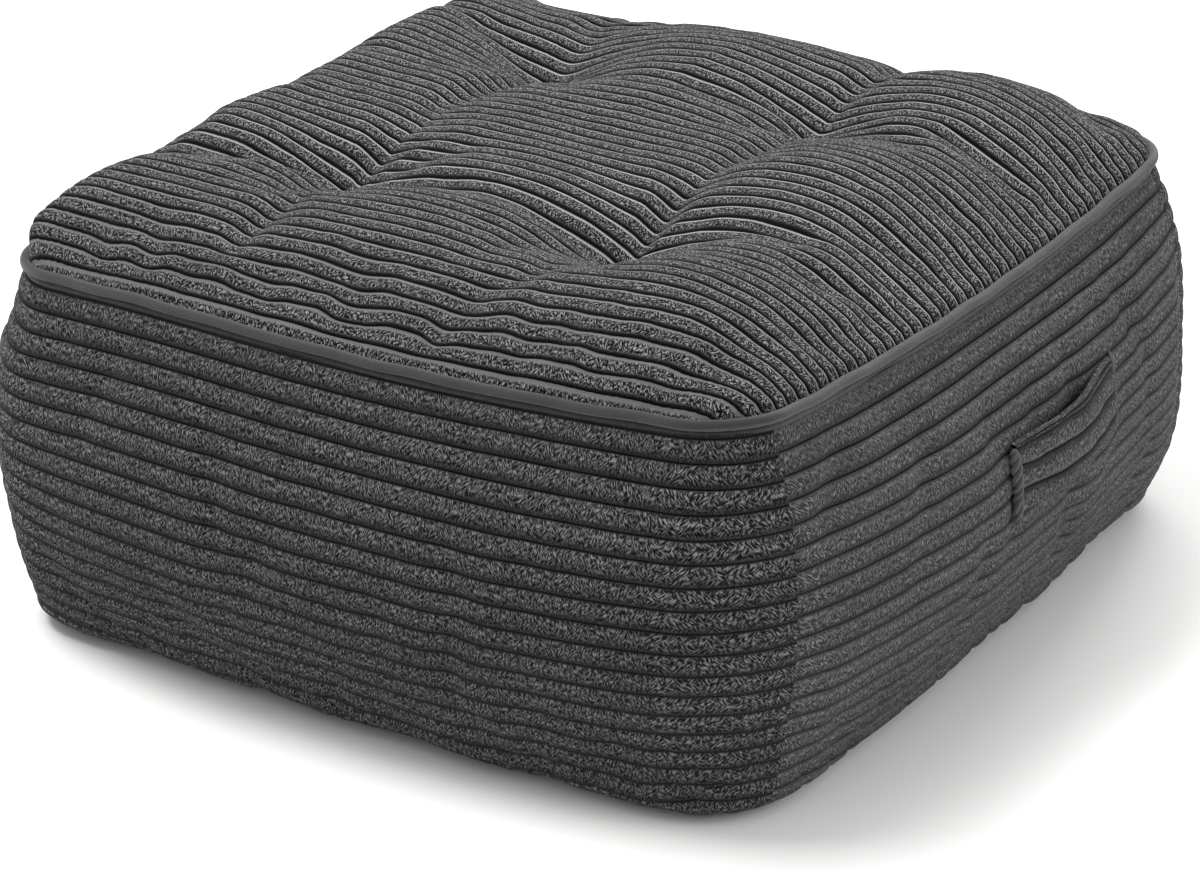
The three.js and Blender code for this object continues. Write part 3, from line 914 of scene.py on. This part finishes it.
def strapLevel(along, place):
    # height above the floor of a place on the strap, 0 at its bottom edge and 1 at its top
    lines = dict(zip(strapColumns, np.array(strapLines).T))
    share = along / handle["length"]
    share = share + handle["slide"] * np.sin(2 * math.pi * share)
    places = (*(np.array([0, 1 / 3, 2 / 3, 1]) * (1 - handle["hem"])), 1.0)
    levels = [np.interp(share, lines["share"], lines[name]) for name in strapColumns[1:]]
    height = np.zeros(np.broadcast(along, place).shape)
    for k in range(len(places) - 1):
        part = np.clip((place - places[k]) / (places[k + 1] - places[k]), 0, 1)
        height = height + part * (levels[k + 1] - levels[k])
    return levels[0] + height


def strapPlace(along, place, height):
    # along in metres from the front end, place 0 to 1 up the strap, height over its back face
    share = along / handle["length"]
    bow = eased(share, *handle["bowRise"]) * (1 - eased(share, *handle["bowFall"]))
    y = handle["middleY"] - handle["length"] / 2 + along
    z = strapLevel(along, place)
    x = sideSurfaceX(np.broadcast_to(y, z.shape), z) + handle["clear"] + handle["reach"] * bow
    thickness = handle["thickness"] * (1 - handle["endThinning"] * eased(share, *handle["endThins"]))
    return stacked(x + height * thickness, y, z)


def makeHandle():
    along = np.linspace(0, handle["length"], handle["steps"] + 1)
    hemStart = 1 - handle["hem"]
    phases = waleRows(0, handle["wales"])
    raised = waleShape(phases, handle["squareness"], handle["roundness"])
    # rows over the strap: place over its width, height over its back face, wale phase
    across = list(zip(phases / handle["wales"] * hemStart,
                      handle["grooveHeight"] + handle["waleHeight"] * raised, phases))
    # the hem's stitched line gets the same painted shade as a groove
    for place, height in hemSection:
        phase = handle["wales"] + 0.1 + 0.9 * place / handle["hemLine"]
        across.append((hemStart + handle["hem"] * place, height, phase))
    across += [(place, height, 0.5) for place, height in strapBack]
    place, height, phase = (column[:, None] for column in np.array(across).T)
    along = along[None, :]
    outer = eased(height, 0.3, 0.6)
    # small folds gather the cloth at both ends, more so at the front one
    gather = np.exp(-(along / handle["frontGather"]) ** 2) \
        + 0.5 * np.exp(-((handle["length"] - along) / handle["backGather"]) ** 2)
    creases = unevenness(along / handle["creaseLength"], phase * handle["creasesAcross"], 92)
    place = place + handle["creaseWaver"] / handle["width"] * creases * outer
    points = strapPlace(along, place, height)
    gathers = unevenness(along / handle["foldLength"], place * handle["foldsAcross"], 93)
    folds = handle["fold"] * gather * gathers \
        + handle["rumple"] * unevenIn(along, phase, handle["rumpleSize"], 94)
    points[..., 0] += folds * outer
    cloth = stacked(along / side["waleWidth"], phase)
    return clothPiece("handleStrap", points, cloth, closed=True)


# Front end of the strap: the seam allowance, rolled over and gathered into a twisted fold.
endFold = {
    "radius": 0.0032,
    "out": 0.0046,  # over the side
    "ahead": 0.0016,  # in front of the strap
    "height": 0.94,  # share of the strap's width
    "twists": 8,
    "strands": 3,
    "strandDepth": 0.52,
    "strandRoundness": 0.7,
    "looseTwist": 0.9,
    "swell": 0.16,
    "bumps": 0.07,
    "steps": 260,
    "sides": 48,
    "bend": 0.0020,
    "patternLength": 0.01,
}


def makeEndFold():
    up = np.linspace(0, 1, endFold["steps"])[:, None]
    angle = np.linspace(0, 2 * math.pi, endFold["sides"] + 1)[None, ::-1]
    twist = 2 * math.pi * endFold["twists"] * up / endFold["strands"] \
        + endFold["looseTwist"] * unevenness(up * 6, 0.5, 101)
    ridges = np.abs(np.sin((angle + twist) * endFold["strands"] / 2)) ** endFold["strandRoundness"]
    ends = np.sqrt(np.clip(1 - np.abs(2 * up - 1) ** 9, 0.02, 1))
    swell = 1 + endFold["swell"] * unevenness(up * 7, 1.5, 102)
    radius = endFold["radius"] * swell * ends * (1 - endFold["strandDepth"] * (1 - ridges))
    radius = radius * (1 + endFold["bumps"] * unevenness(up * 26, angle * 1.6, 103))
    z = handle["middleZ"] + (up - 0.5) * handle["width"] * endFold["height"]
    bendY = endFold["bend"] * unevenness(up * 3, 2.5, 104)
    y = handle["middleY"] - handle["length"] / 2 - endFold["ahead"] + bendY + radius * np.cos(angle)
    x = sideSurfaceX(np.broadcast_to(y, radius.shape), np.broadcast_to(z, radius.shape)) \
        + endFold["out"] + radius * np.sin(angle)
    points = stacked(x, y, z)
    cloth = stacked(up * handle["width"] / endFold["patternLength"], angle / 3)
    return clothPiece("strapEndFold", points[:, ::-1], cloth[:, ::-1])


# Back end of the strap: sewn down, with small folds drawn together at its upper corner.
pinch = {
    "y": 0.0905,
    "z": 0.1630,
    "radius": 0.0013,
    "thinnest": 0.00005,
    "taper": 0.6,
    "over": 0.0018,
    "rise": 0.0020,
    "bend": 0.0008,
    "steps": 14,
    "sides": 10,
    "patternLength": 0.004,
}
foldColumns = ("turn", "length")  # degrees turned up from straight back, and metres
pinchFolds = ((148, 0.0075), (96, 0.0100), (64, 0.0065), (8, 0.0095), (-38, 0.0085), (-104, 0.0150))


def pinchFold(fold):
    turn = math.radians(fold["turn"])
    run = np.linspace(0, 1, pinch["steps"])[:, None]
    angle = np.linspace(0, 2 * math.pi, pinch["sides"] + 1)[None, ::-1]
    radius = pinch["radius"] * (1 - run) ** pinch["taper"] * np.minimum(1, 0.4 + 3 * run) + pinch["thinnest"]
    away = fold["length"] * run
    bend = pinch["bend"] * np.sin(run * 3 + fold["turn"])
    y = pinch["y"] + math.cos(turn) * away - math.sin(turn) * (bend + radius * np.cos(angle))
    z = pinch["z"] + math.sin(turn) * away + math.cos(turn) * (bend + radius * np.cos(angle))
    x = sideSurfaceX(y, z) + pinch["over"] + radius * np.sin(angle) + pinch["rise"] * (1 - run)
    points = stacked(x, y, z)
    cloth = stacked(away / pinch["patternLength"], angle / 3)
    return clothPiece("pinchFold", points[:, ::-1], cloth[:, ::-1])


def makePinch():
    return joinPieces("strapPinch", [pinchFold(dict(zip(foldColumns, row))) for row in pinchFolds])


def joinPieces(name, parts):
    with bpy.context.temp_override(active_object=parts[0], selected_editable_objects=parts):
        bpy.ops.object.join()
    parts[0].name = parts[0].data.name = name
    return parts[0]


def feed(tree, socket, value):
    # another node's output is linked, a plain value is set
    if isinstance(value, bpy.types.NodeSocket):
        tree.links.new(value, socket)
    else:
        socket.default_value = value


def addNode(tree, kind, x, y, *values, **settings):
    # the values go into the node's first inputs
    node = tree.nodes.new(kind)
    node.location = (x, y)
    for name, value in settings.items():
        setattr(node, name, value)
    for socket, value in zip(node.inputs, values):
        feed(tree, socket, value)
    return node


def maths(tree, operation, x, y, *values):
    return addNode(tree, "ShaderNodeMath", x, y, *values, operation=operation).outputs[0]


def scaledBy(tree, x, y, vector, factor):
    node = addNode(tree, "ShaderNodeVectorMath", x, y, vector, operation="SCALE")
    feed(tree, node.inputs["Scale"], factor)
    return node.outputs[0]


def smoothStep(tree, x, y, value, low, high, toLow=0.0, toHigh=1.0):
    node = addNode(tree, "ShaderNodeMapRange", x, y, value, low, high, toLow, toHigh,
                   interpolation_type="SMOOTHSTEP")
    return node.outputs["Result"]


def colourMix(tree, x, y, share, first, second, **settings):
    node = addNode(tree, "ShaderNodeMix", x, y, share, data_type="RGBA", **settings)
    feed(tree, node.inputs[6], first)
    feed(tree, node.inputs[7], second)
    return node.outputs[2]


def noise(tree, x, y, place, scale, detail=2.0, roughness=0.5, distortion=0.0, output="Fac"):
    node = addNode(tree, "ShaderNodeTexNoise", x, y, place)
    node.inputs["Scale"].default_value = scale
    node.inputs["Detail"].default_value = detail
    node.inputs["Roughness"].default_value = roughness
    node.inputs["Distortion"].default_value = distortion
    return node.outputs[output]


def startMaterial(name):
    material = bpy.data.materials.new(name)
    material.use_nodes = True
    return material, material.node_tree, material.node_tree.nodes["Principled BSDF"]


def addBump(tree, shader, height, distance, strength=1.0):
    bump = addNode(tree, "ShaderNodeBump", -250, -300)
    bump.inputs["Distance"].default_value = distance
    bump.inputs["Strength"].default_value = strength
    tree.links.new(height, bump.inputs["Height"])
    tree.links.new(bump.outputs[0], shader.inputs["Normal"])


# Stitches: one small bead of thread after another along a path.
stitch = {
    "pitch": 0.0034,
    "length": 0.0025,
    "thickness": 0.0005,
    "unevenness": 0.18,
    "seed": 7,
    "hemEnds": (0.006, 0.008),  # the hem's row starts and stops this far from the strap's ends
    "hemHeight": 0.62,  # over the back face, as a share of the thickness
    "backRow": (0.06, 0.84),  # shares of the strap's width
    "backInset": 0.0035,
    "backHeight": 1.06,
}


def stitchGroup():
    group = bpy.data.node_groups.new("stitchRow", "GeometryNodeTree")
    face = group.interface
    face.new_socket("Geometry", in_out="INPUT", socket_type="NodeSocketGeometry")
    for name in ("Pitch", "Length", "Thickness", "Unevenness"):
        face.new_socket(name, in_out="INPUT", socket_type="NodeSocketFloat")
    face.new_socket("Seed", in_out="INPUT", socket_type="NodeSocketInt")
    face.new_socket("Material", in_out="INPUT", socket_type="NodeSocketMaterial")
    face.new_socket("Geometry", in_out="OUTPUT", socket_type="NodeSocketGeometry")
    start = addNode(group, "NodeGroupInput", -900, 0).outputs
    path = addNode(group, "GeometryNodeMeshToCurve", -700, 0, start["Geometry"]).outputs[0]
    spaced = addNode(group, "GeometryNodeResampleCurve", -500, 0, path, mode="LENGTH")
    tangent = addNode(group, "GeometryNodeInputTangent", -500, -250).outputs[0]
    along = addNode(group, "FunctionNodeAlignRotationToVector", -300, -250, axis="Z")
    bead = addNode(group, "GeometryNodeMeshUVSphere", -500, 250, 10, 7, 0.5).outputs["Mesh"]
    low = maths(group, "SUBTRACT", -700, -450, 1.0, start["Unevenness"])
    high = maths(group, "ADD", -700, -600, 1.0, start["Unevenness"])
    varied = addNode(group, "FunctionNodeRandomValue", -500, -500, data_type="FLOAT")
    wide = maths(group, "MULTIPLY", -300, -450, start["Thickness"], 2.0)
    size = addNode(group, "ShaderNodeCombineXYZ", -150, -450, wide, wide, start["Length"]).outputs[0]
    size = scaledBy(group, 0, -450, size, varied.outputs[1])
    placed = addNode(group, "GeometryNodeInstanceOnPoints", 150, 0, spaced.outputs[0])
    real = addNode(group, "GeometryNodeRealizeInstances", 350, 0, placed.outputs[0]).outputs[0]
    smooth = addNode(group, "GeometryNodeSetShadeSmooth", 500, 0, real).outputs[0]
    thread = addNode(group, "GeometryNodeSetMaterial", 650, 0, smooth)
    addNode(group, "NodeGroupOutput", 850, 0, thread.outputs[0])
    for node, key, source in (
            (spaced, "Length", start["Pitch"]), (along, "Vector", tangent), (placed, "Instance", bead),
            (varied, 2, low), (varied, 3, high), (varied, "Seed", start["Seed"]),
            (placed, "Rotation", along.outputs[0]), (placed, "Scale", size),
            (thread, "Material", start["Material"])):
        feed(group, node.inputs[key], source)
    return group


def threadMaterial():
    material, tree, shader = startMaterial("sewingThread")
    place = addNode(tree, "ShaderNodeTexCoord", -900, 0)
    twist = noise(tree, -650, 0, place.outputs["Object"], 2600.0, 2.0, 0.5, 0.6)
    tint = colourMix(tree, -350, 0, twist, (0.06, 0.06, 0.061, 1), (0.20, 0.20, 0.203, 1))
    tree.links.new(tint, shader.inputs["Base Color"])
    addBump(tree, shader, twist, 0.0002)
    shader.inputs["Roughness"].default_value = 0.6
    shader.inputs["Specular IOR Level"].default_value = 0.2
    return material


def makeStitches():
    # one row in the hem and one down the sewn back end
    first, last = stitch["hemEnds"]
    hemRun = np.linspace(first, handle["length"] - last, 90)[:, None]
    hemPlace = np.full_like(hemRun, 1 - handle["hem"] * (1 - handle["hemLine"]))
    hemRow = strapPlace(hemRun, hemPlace, stitch["hemHeight"])[:, 0]
    upShare = np.linspace(*stitch["backRow"], 40)[:, None]
    backRun = np.full_like(upShare, handle["length"] - stitch["backInset"])
    backRow = strapPlace(backRun, upShare, stitch["backHeight"])[:, 0]
    points = np.concatenate([hemRow, backRow])
    edges = [(k, k + 1) for k in range(len(points) - 1) if k != len(hemRow) - 1]
    mesh = bpy.data.meshes.new("strapStitches")
    mesh.from_pydata(points, edges, [])
    piece = addObject("strapStitches", mesh)
    group = stitchGroup()
    modifier = piece.modifiers.new("stitches", "NODES")
    modifier.node_group = group
    sockets = {item.name: item.identifier for item in group.interface.items_tree if item.in_out == "INPUT"}
    for name in ("pitch", "length", "thickness", "unevenness", "seed"):
        modifier[sockets[name.capitalize()]] = stitch[name]
    thread = threadMaterial()
    modifier[sockets["Material"]] = thread
    graph = bpy.context.evaluated_depsgraph_get()
    made = bpy.data.meshes.new_from_object(piece.evaluated_get(graph))
    piece.modifiers.clear()
    piece.data = made
    made.name = "strapStitches"
    made.polygons.foreach_set("material_index", [0] * len(made.polygons))
    made.materials.clear()
    made.materials.append(thread)
    return piece


pressed = pressOut()
print("floor pillow: filling pressed out")
topPanel = makeTop()
print("floor pillow: top panel", len(topPanel.data.polygons))
sidePanels = makeSides()
print("floor pillow: side panels", [len(p.data.polygons) for p in sidePanels])
basePanel = makeBase()
pipingCord = makePiping()
seamBandPiece = makeSeamBand()
handleStrap = makeHandle()
strapEndFold = makeEndFold()
strapPinch = makePinch()
print("floor pillow: piping, band and handle")


# Pile: places over a wale run 0 to 1, and the scales are per wale.
pileShape = {
    "lineStart": (0.71, 0.77),  # the painted highlight along a wale's lit edge comes
    "lineEnd": (0.82, 0.88),  # and goes
    "shadeStart": 0.07,
    "frontHighlightFade": 0.12,  # what is left of that painted highlight beside the front seam
    # painted shade in the grooves
    "grooveDark": 0.95,
    "waleStep": 7.31,  # every wale gets its own strokes
    "swayScale": 3.0,
    "clumpScale": 1.7,
    "clumpCut": (0.45, 0.55),
    "fineScale": 30.0,
    "fineShare": 0.4,
    "fineRelief": 0.5,
    "patchScale": 0.28,
    "strokeCut": (0.46, 0.64),
    "strokeRise": (-0.10, 0.12),
    "strokeFall": (-0.10, 0.05),
}
pileInputs = (  # name and first value of each
    ("Strokes", 14.0), ("Stretch", 4.0), ("Lean", 0.5), ("Curl", 0.2),
    ("Contrast", 1.0), ("Balance", 0.2), ("Level", 0.3), ("Flip", 0.0),
    ("Stroke Start", 0.2), ("Stroke End", 0.9), ("Painted Highlight", 0.5), ("Line Ramp", 1.0),
    ("Edge Shade", 0.3), ("Shade Width", 0.2), ("Groove Width", 0.1), ("Patches", 0.3),
)


def waleMasks(group, start, phase):
    # place from the shaded edge of a wale, 0, to its lit edge, 1, with masks for its painted highlight, its
    # painted shade and the painted shade in its groove
    t = maths(group, "FRACT", -1800, 0, phase)
    lit = maths(group, "ABSOLUTE", -1500, 300, maths(group, "SUBTRACT", -1600, 300, t, start["Flip"]))
    comes = smoothStep(group, -800, 150, lit, *pileShape["lineStart"])
    goes = smoothStep(group, -800, 300, lit, *pileShape["lineEnd"], 1.0, 0.0)
    frontHighlightFade = smoothStep(group, 200, 700, phase, 0.0, start["Line Ramp"], pileShape["frontHighlightFade"], 1.0)
    paintedHighlight = maths(group, "MULTIPLY", 350, 700, maths(group, "MULTIPLY", -600, 150, comes, goes), frontHighlightFade)
    # painted shade that deepens towards each wale's shaded edge
    edgeShade = smoothStep(group, -800, 450, lit, pileShape["shadeStart"], start["Shade Width"], 1.0, 0.0)
    toGroove = maths(group, "MINIMUM", -1000, 600, t, maths(group, "SUBTRACT", -1150, 600, 1.0, t))
    groove = smoothStep(group, -800, 600, toGroove, 0.0, start["Groove Width"], 1.0, 0.0)
    return lit, paintedHighlight, edgeShade, groove


def curledPlace(group, start, place):
    # the strokes wander a little from straight
    turn = noise(group, -1450, -550, place, pileShape["swayScale"], 1.0, output="Color")
    sway = addNode(group, "ShaderNodeVectorMath", -1250, -550, turn, (0.5, 0.5, 0.5), operation="SUBTRACT")
    curl = scaledBy(group, -1100, -550, sway.outputs[0], start["Curl"])
    curled = addNode(group, "ShaderNodeVectorMath", -950, -400, place, curl, operation="ADD")
    return addNode(group, "ShaderNodeSeparateXYZ", -800, -400, curled.outputs[0]).outputs[:2]


def leaningStrokes(group, start, place):
    # strokes of yarn that lean one way or the other, clump by clump
    along, across = curledPlace(group, start, place)
    stretched = maths(group, "MULTIPLY", -650, -500, across, start["Stretch"])
    leaning = []
    for row, way in enumerate(("ADD", "SUBTRACT")):
        level = -600 - 200 * row
        slant = maths(group, "MULTIPLY", -650, level, across, start["Lean"])
        run = maths(group, way, -500, level, along, slant)
        strokes = maths(group, "MULTIPLY", -450, level, run, start["Strokes"])
        spot = addNode(group, "ShaderNodeCombineXYZ", -350, level, strokes, stretched, 4.0 * row)
        leaning.append(noise(group, -200, level, spot.outputs[0], 1.0, 1.0))
    clumps = noise(group, -750, -1000, place, pileShape["clumpScale"])
    share = smoothStep(group, -550, -1000, clumps, *pileShape["clumpCut"])
    chosen = addNode(group, "ShaderNodeMix", 0, -600, share, data_type="FLOAT")
    group.links.new(leaning[0], chosen.inputs[2])
    group.links.new(leaning[1], chosen.inputs[3])
    return smoothStep(group, 150, -600, chosen.outputs[0], *pileShape["strokeCut"])


def strokeMiddle(group, start, lit):
    # strokes are strong in the middle of a wale and fade towards the grooves
    fromStart = maths(group, "SUBTRACT", -850, -250, lit, start["Stroke Start"])
    rising = smoothStep(group, -700, -250, fromStart, *pileShape["strokeRise"])
    fromEnd = maths(group, "SUBTRACT", -850, -150, lit, start["Stroke End"])
    faded = smoothStep(group, -700, -150, fromEnd, *pileShape["strokeFall"], 1.0, 0.0)
    return maths(group, "MULTIPLY", -550, -200, rising, faded)


def pileGroup():
    # corduroy pile: leaning strokes of yarn over each wale, a painted highlight on one edge, painted shade on
    # the other edge and in the grooves between
    group = bpy.data.node_groups.new("corduroyPile", "ShaderNodeTree")
    face = group.interface
    face.new_socket("Cloth Place", in_out="INPUT", socket_type="NodeSocketVector")
    face.new_socket("Pile", in_out="INPUT", socket_type="NodeSocketColor")
    face.new_socket("Shade", in_out="INPUT", socket_type="NodeSocketColor")
    for name, value in pileInputs:
        face.new_socket(name, in_out="INPUT", socket_type="NodeSocketFloat").default_value = value
    face.new_socket("Color", in_out="OUTPUT", socket_type="NodeSocketColor")
    face.new_socket("Height", in_out="OUTPUT", socket_type="NodeSocketFloat")
    start = addNode(group, "NodeGroupInput", -2200, 0).outputs
    end = addNode(group, "NodeGroupOutput", 1300, 0)
    along, phase = addNode(group, "ShaderNodeSeparateXYZ", -2000, 0, start["Cloth Place"]).outputs[:2]
    lit, paintedHighlight, edgeShade, groove = waleMasks(group, start, phase)
    number = maths(group, "FLOOR", -1800, -100, phase)
    step = maths(group, "MULTIPLY", -1700, -300, number, pileShape["waleStep"])
    shifted = maths(group, "ADD", -1600, -300, along, step)
    place = addNode(group, "ShaderNodeCombineXYZ", -1450, -300, shifted, phase).outputs[0]
    fine = noise(group, -750, -1150, place, pileShape["fineScale"], 2.0, 0.6, 0.4)
    fineSwing = maths(group, "SUBTRACT", -350, -1150, fine, 0.5)
    patches = noise(group, -750, -1300, start["Cloth Place"], pileShape["patchScale"])
    strokes = maths(group, "MULTIPLY", 300, -600, leaningStrokes(group, start, place),
                    maths(group, "ADD", 200, -800, 0.5, fine))
    balanced = maths(group, "SUBTRACT", 400, -300, strokes, start["Balance"])
    strokeSwing = maths(group, "MULTIPLY", 450, -300, balanced, strokeMiddle(group, start, lit))
    # lightness of the pile, between its shade and its own colour
    fineLight = maths(group, "MULTIPLY", 50, -1150, fineSwing, pileShape["fineShare"])
    swing = maths(group, "ADD", 550, -300, strokeSwing, fineLight)
    swing = maths(group, "MULTIPLY", 650, -300, swing, start["Contrast"])
    lightness = maths(group, "ADD", 750, -300, start["Level"], swing)
    # painted highlight along each wale's lit edge, added to the lightness
    lineLight = maths(group, "MULTIPLY", 350, 550, paintedHighlight, start["Painted Highlight"])
    lightness = maths(group, "ADD", 850, -300, lightness, lineLight)
    lightness = maths(group, "MAXIMUM", 900, -300, lightness, 0.0)
    tint = colourMix(group, 950, 0, lightness, start["Shade"], start["Pile"], clamp_factor=False)
    # broad patches of random tone, painted shade in the grooves and painted shade on the shaded edges
    patchSwing = maths(group, "SUBTRACT", 400, 300, patches, 0.5)
    patchSwing = maths(group, "MULTIPLY", 500, 300, patchSwing, start["Patches"])
    patchy = maths(group, "ADD", 600, 300, 1.0, patchSwing)
    # painted shade in the grooves darkens the colour
    grooveShade = maths(group, "MULTIPLY", 700, 400, groove, pileShape["grooveDark"])
    bright = maths(group, "MULTIPLY", 900, 300, patchy, maths(group, "SUBTRACT", 800, 400, 1.0, grooveShade))
    # painted shade over each wale's shaded edge
    shade = maths(group, "MULTIPLY", 700, 550, edgeShade, start["Edge Shade"])
    bright = maths(group, "MULTIPLY", 950, 400, bright, maths(group, "SUBTRACT", 800, 550, 1.0, shade))
    group.links.new(scaledBy(group, 1100, 50, tint, bright), end.inputs["Color"])
    fineRelief = maths(group, "MULTIPLY", 600, -700, fineSwing, pileShape["fineRelief"])
    group.links.new(maths(group, "ADD", 700, -600, strokeSwing, fineRelief), end.inputs["Height"])
    return group


pile = pileGroup()


def corduroyMaterial(name, settings):
    material, tree, shader = startMaterial(name)
    place = addNode(tree, "ShaderNodeUVMap", -900, 0, uv_map="cloth")
    cloth = addNode(tree, "ShaderNodeGroup", -650, 0, node_tree=pile)
    tree.links.new(place.outputs[0], cloth.inputs["Cloth Place"])
    for key, value in settings["pile"].items():
        cloth.inputs[key].default_value = value
    tree.links.new(cloth.outputs["Color"], shader.inputs["Base Color"])
    addBump(tree, shader, cloth.outputs["Height"], settings["pileDepth"])
    shader.inputs["Roughness"].default_value = settings["roughness"]
    shader.inputs["Sheen Weight"].default_value = settings["sheen"]
    shader.inputs["Sheen Roughness"].default_value = 0.3
    shader.inputs["Sheen Tint"].default_value = (0.9, 0.9, 0.92, 1)
    shader.inputs["Specular IOR Level"].default_value = 0.08
    return material


# top and sides share one cloth; the top's pile colour and level are set lighter as painted light from above,
# the sides' darker as painted shade
topPileAndPaintedLight = {
    "pile": {"Pile": (0.30, 0.30, 0.303, 1), "Shade": (0.001, 0.001, 0.001, 1),
             "Strokes": 14.0, "Stretch": 6.0, "Lean": 0.45, "Curl": 0.16,
             "Contrast": 1.75, "Balance": 0.28, "Level": 0.46, "Flip": 0.0,
             "Stroke Start": 0.14, "Stroke End": 0.74, "Painted Highlight": 0.95, "Line Ramp": 20.0,
             "Edge Shade": 0.955, "Shade Width": 0.24, "Groove Width": 0.07, "Patches": 0.35},
    "pileDepth": 0.0022,
    "roughness": 0.9,
    "sheen": 0.08,
}
sidePileAndPaintedLight = {
    "pile": {"Pile": (0.23, 0.23, 0.231, 1), "Shade": (0.002, 0.002, 0.002, 1),
             "Strokes": 21.0, "Stretch": 5.0, "Lean": 0.55, "Curl": 0.12,
             "Contrast": 1.75, "Balance": 0.17, "Level": 0.32, "Flip": 1.0,
             "Stroke Start": 0.14, "Stroke End": 0.96, "Painted Highlight": 0.0, "Line Ramp": 1.0,
             "Edge Shade": 0.68, "Shade Width": 0.62, "Groove Width": 0.085, "Patches": 0.45},
    "pileDepth": 0.0022,
    "roughness": 0.9,
    "sheen": 0.06,
}
# on the handle side one edge of each wale gets a painted highlight, and the pile is set lighter than on the
# other sides as painted light on that side; the strap shares it
handleSidePileAndPaintedLight = {**sidePileAndPaintedLight, "pile": {
    **sidePileAndPaintedLight["pile"], "Stroke Start": 0.12, "Stroke End": 0.92, "Painted Highlight": 0.22, "Edge Shade": 0.60,
    "Shade Width": 0.40, "Groove Width": 0.08, "Contrast": 1.5, "Level": 0.43}}
topCorduroy = corduroyMaterial("topCorduroy", topPileAndPaintedLight)
sideCorduroy = corduroyMaterial("sideCorduroy", sidePileAndPaintedLight)
handleSideCorduroy = corduroyMaterial("handleSideCorduroy", handleSidePileAndPaintedLight)


def smoothClothMaterial(name, colour, scale, bumpDepth):
    material, tree, shader = startMaterial(name)
    place = addNode(tree, "ShaderNodeUVMap", -900, 0, uv_map="cloth").outputs[0]
    nap = noise(tree, -600, 0, place, scale, 4.0, 0.65)
    soft = noise(tree, -600, -250, place, scale / 8)
    mixed = maths(tree, "ADD", -400, 0, maths(tree, "MULTIPLY", -450, 0, nap, 0.5),
                  maths(tree, "MULTIPLY", -450, -150, soft, 0.5))
    shade, light = (tuple(c * share for c in colour[:3]) + (1,) for share in (0.6, 1.35))
    tree.links.new(colourMix(tree, -200, 0, mixed, shade, light), shader.inputs["Base Color"])
    addBump(tree, shader, nap, bumpDepth, 0.6)
    shader.inputs["Roughness"].default_value = 0.8
    shader.inputs["Sheen Weight"].default_value = 0.3
    shader.inputs["Sheen Roughness"].default_value = 0.5
    shader.inputs["Specular IOR Level"].default_value = 0.25
    return material


strapStitches = makeStitches()
cordCloth = smoothClothMaterial("cordCloth", (0.026, 0.026, 0.027, 1), 16, 0.0012)
foldCloth = smoothClothMaterial("foldCloth", (0.062, 0.062, 0.063, 1), 18, 0.0010)
# the band's dark colour is partly its own and partly painted shade under the piping
bandCloth = smoothClothMaterial("bandCloth", (0.020, 0.020, 0.021, 1), 26, 0.0008)

for piece, material, slotName in (
        (topPanel, topCorduroy, "corduroy"), (sidePanels[1], handleSideCorduroy, "corduroy"),
        *((sidePanels[k], sideCorduroy, "corduroy") for k in (0, 2, 3)),
        (basePanel, sideCorduroy, "corduroy"), (pipingCord, cordCloth, "cord_cloth"),
        (seamBandPiece, bandCloth, "cord_cloth"), (handleStrap, handleSideCorduroy, "strap_cloth"),
        (strapEndFold, foldCloth, "strap_cloth"), (strapPinch, foldCloth, "strap_cloth"),
        (strapStitches, None, "strap_cloth")):
    if material:
        piece.data.materials.append(material)
    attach(piece, "root")

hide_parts("cushion")
for piece in (*sidePanels, basePanel):
    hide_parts("cushion")
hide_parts("piping")
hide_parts("piping")
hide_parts("handle")
for piece in (strapEndFold, strapPinch, strapStitches):
    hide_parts("handle")
print("floor pillow: materials and pieces set")


# Pale floor and soft studio light.
studio = {
    "floorColour": (0.93, 0.93, 0.92, 1),
    "skyColour": (1.0, 1.0, 1.0, 1),
    "skyStrength": 0.73,
    "floorReach": 8,
    "floorLevel": -0.0003,
    "lightAim": (0, 0, 0.15),
    "lights": (  # place, size, power
        ("keyLight", (-0.95, -0.55, 2.45), 1.2, 60),
        ("backLight", (-0.5, 2.2, 1.7), 1.8, 50),
        ("sideLight", (2.3, 0.2, 1.3), 1.2, 15),
    ),
}


def makeStudio():
    mesh = bpy.data.meshes.new("floor")
    reach = studio["floorReach"]
    corners = [(x * reach, y * reach, studio["floorLevel"]) for x, y in ((-1, -1), (1, -1), (1, 1), (-1, 1))]
    mesh.from_pydata(corners, [], [(0, 1, 2, 3)])
    floor = addObject("floor", mesh)
    material, _, shader = startMaterial("floorPaint")
    shader.inputs["Base Color"].default_value = studio["floorColour"]
    shader.inputs["Roughness"].default_value = 0.9
    shader.inputs["Specular IOR Level"].default_value = 0.1
    mesh.materials.append(material)
    floor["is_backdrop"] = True
    world = bpy.data.worlds.new("studioSky")
    world.use_nodes = True
    sky = world.node_tree.nodes["Background"]
    sky.inputs["Color"].default_value = studio["skyColour"]
    sky.inputs["Strength"].default_value = studio["skyStrength"]
    bpy.context.scene.world = world
    for name, place, size, power in studio["lights"]:
        light = bpy.data.lights.new(name, "AREA")
        light.size, light.energy = size, power
        lamp = addObject(name, light)
        lamp.location = place
        towards = Vector(studio["lightAim"]) - Vector(place)
        lamp.rotation_euler = towards.to_track_quat("-Z", "Y").to_euler()
    bpy.context.scene.view_settings.view_transform = "Standard"


makeStudio()
print("floor pillow: studio ready")

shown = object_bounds()
{"cad": [list(corner) for corner in cadBox], "visual": [list(corner) for corner in shown]}
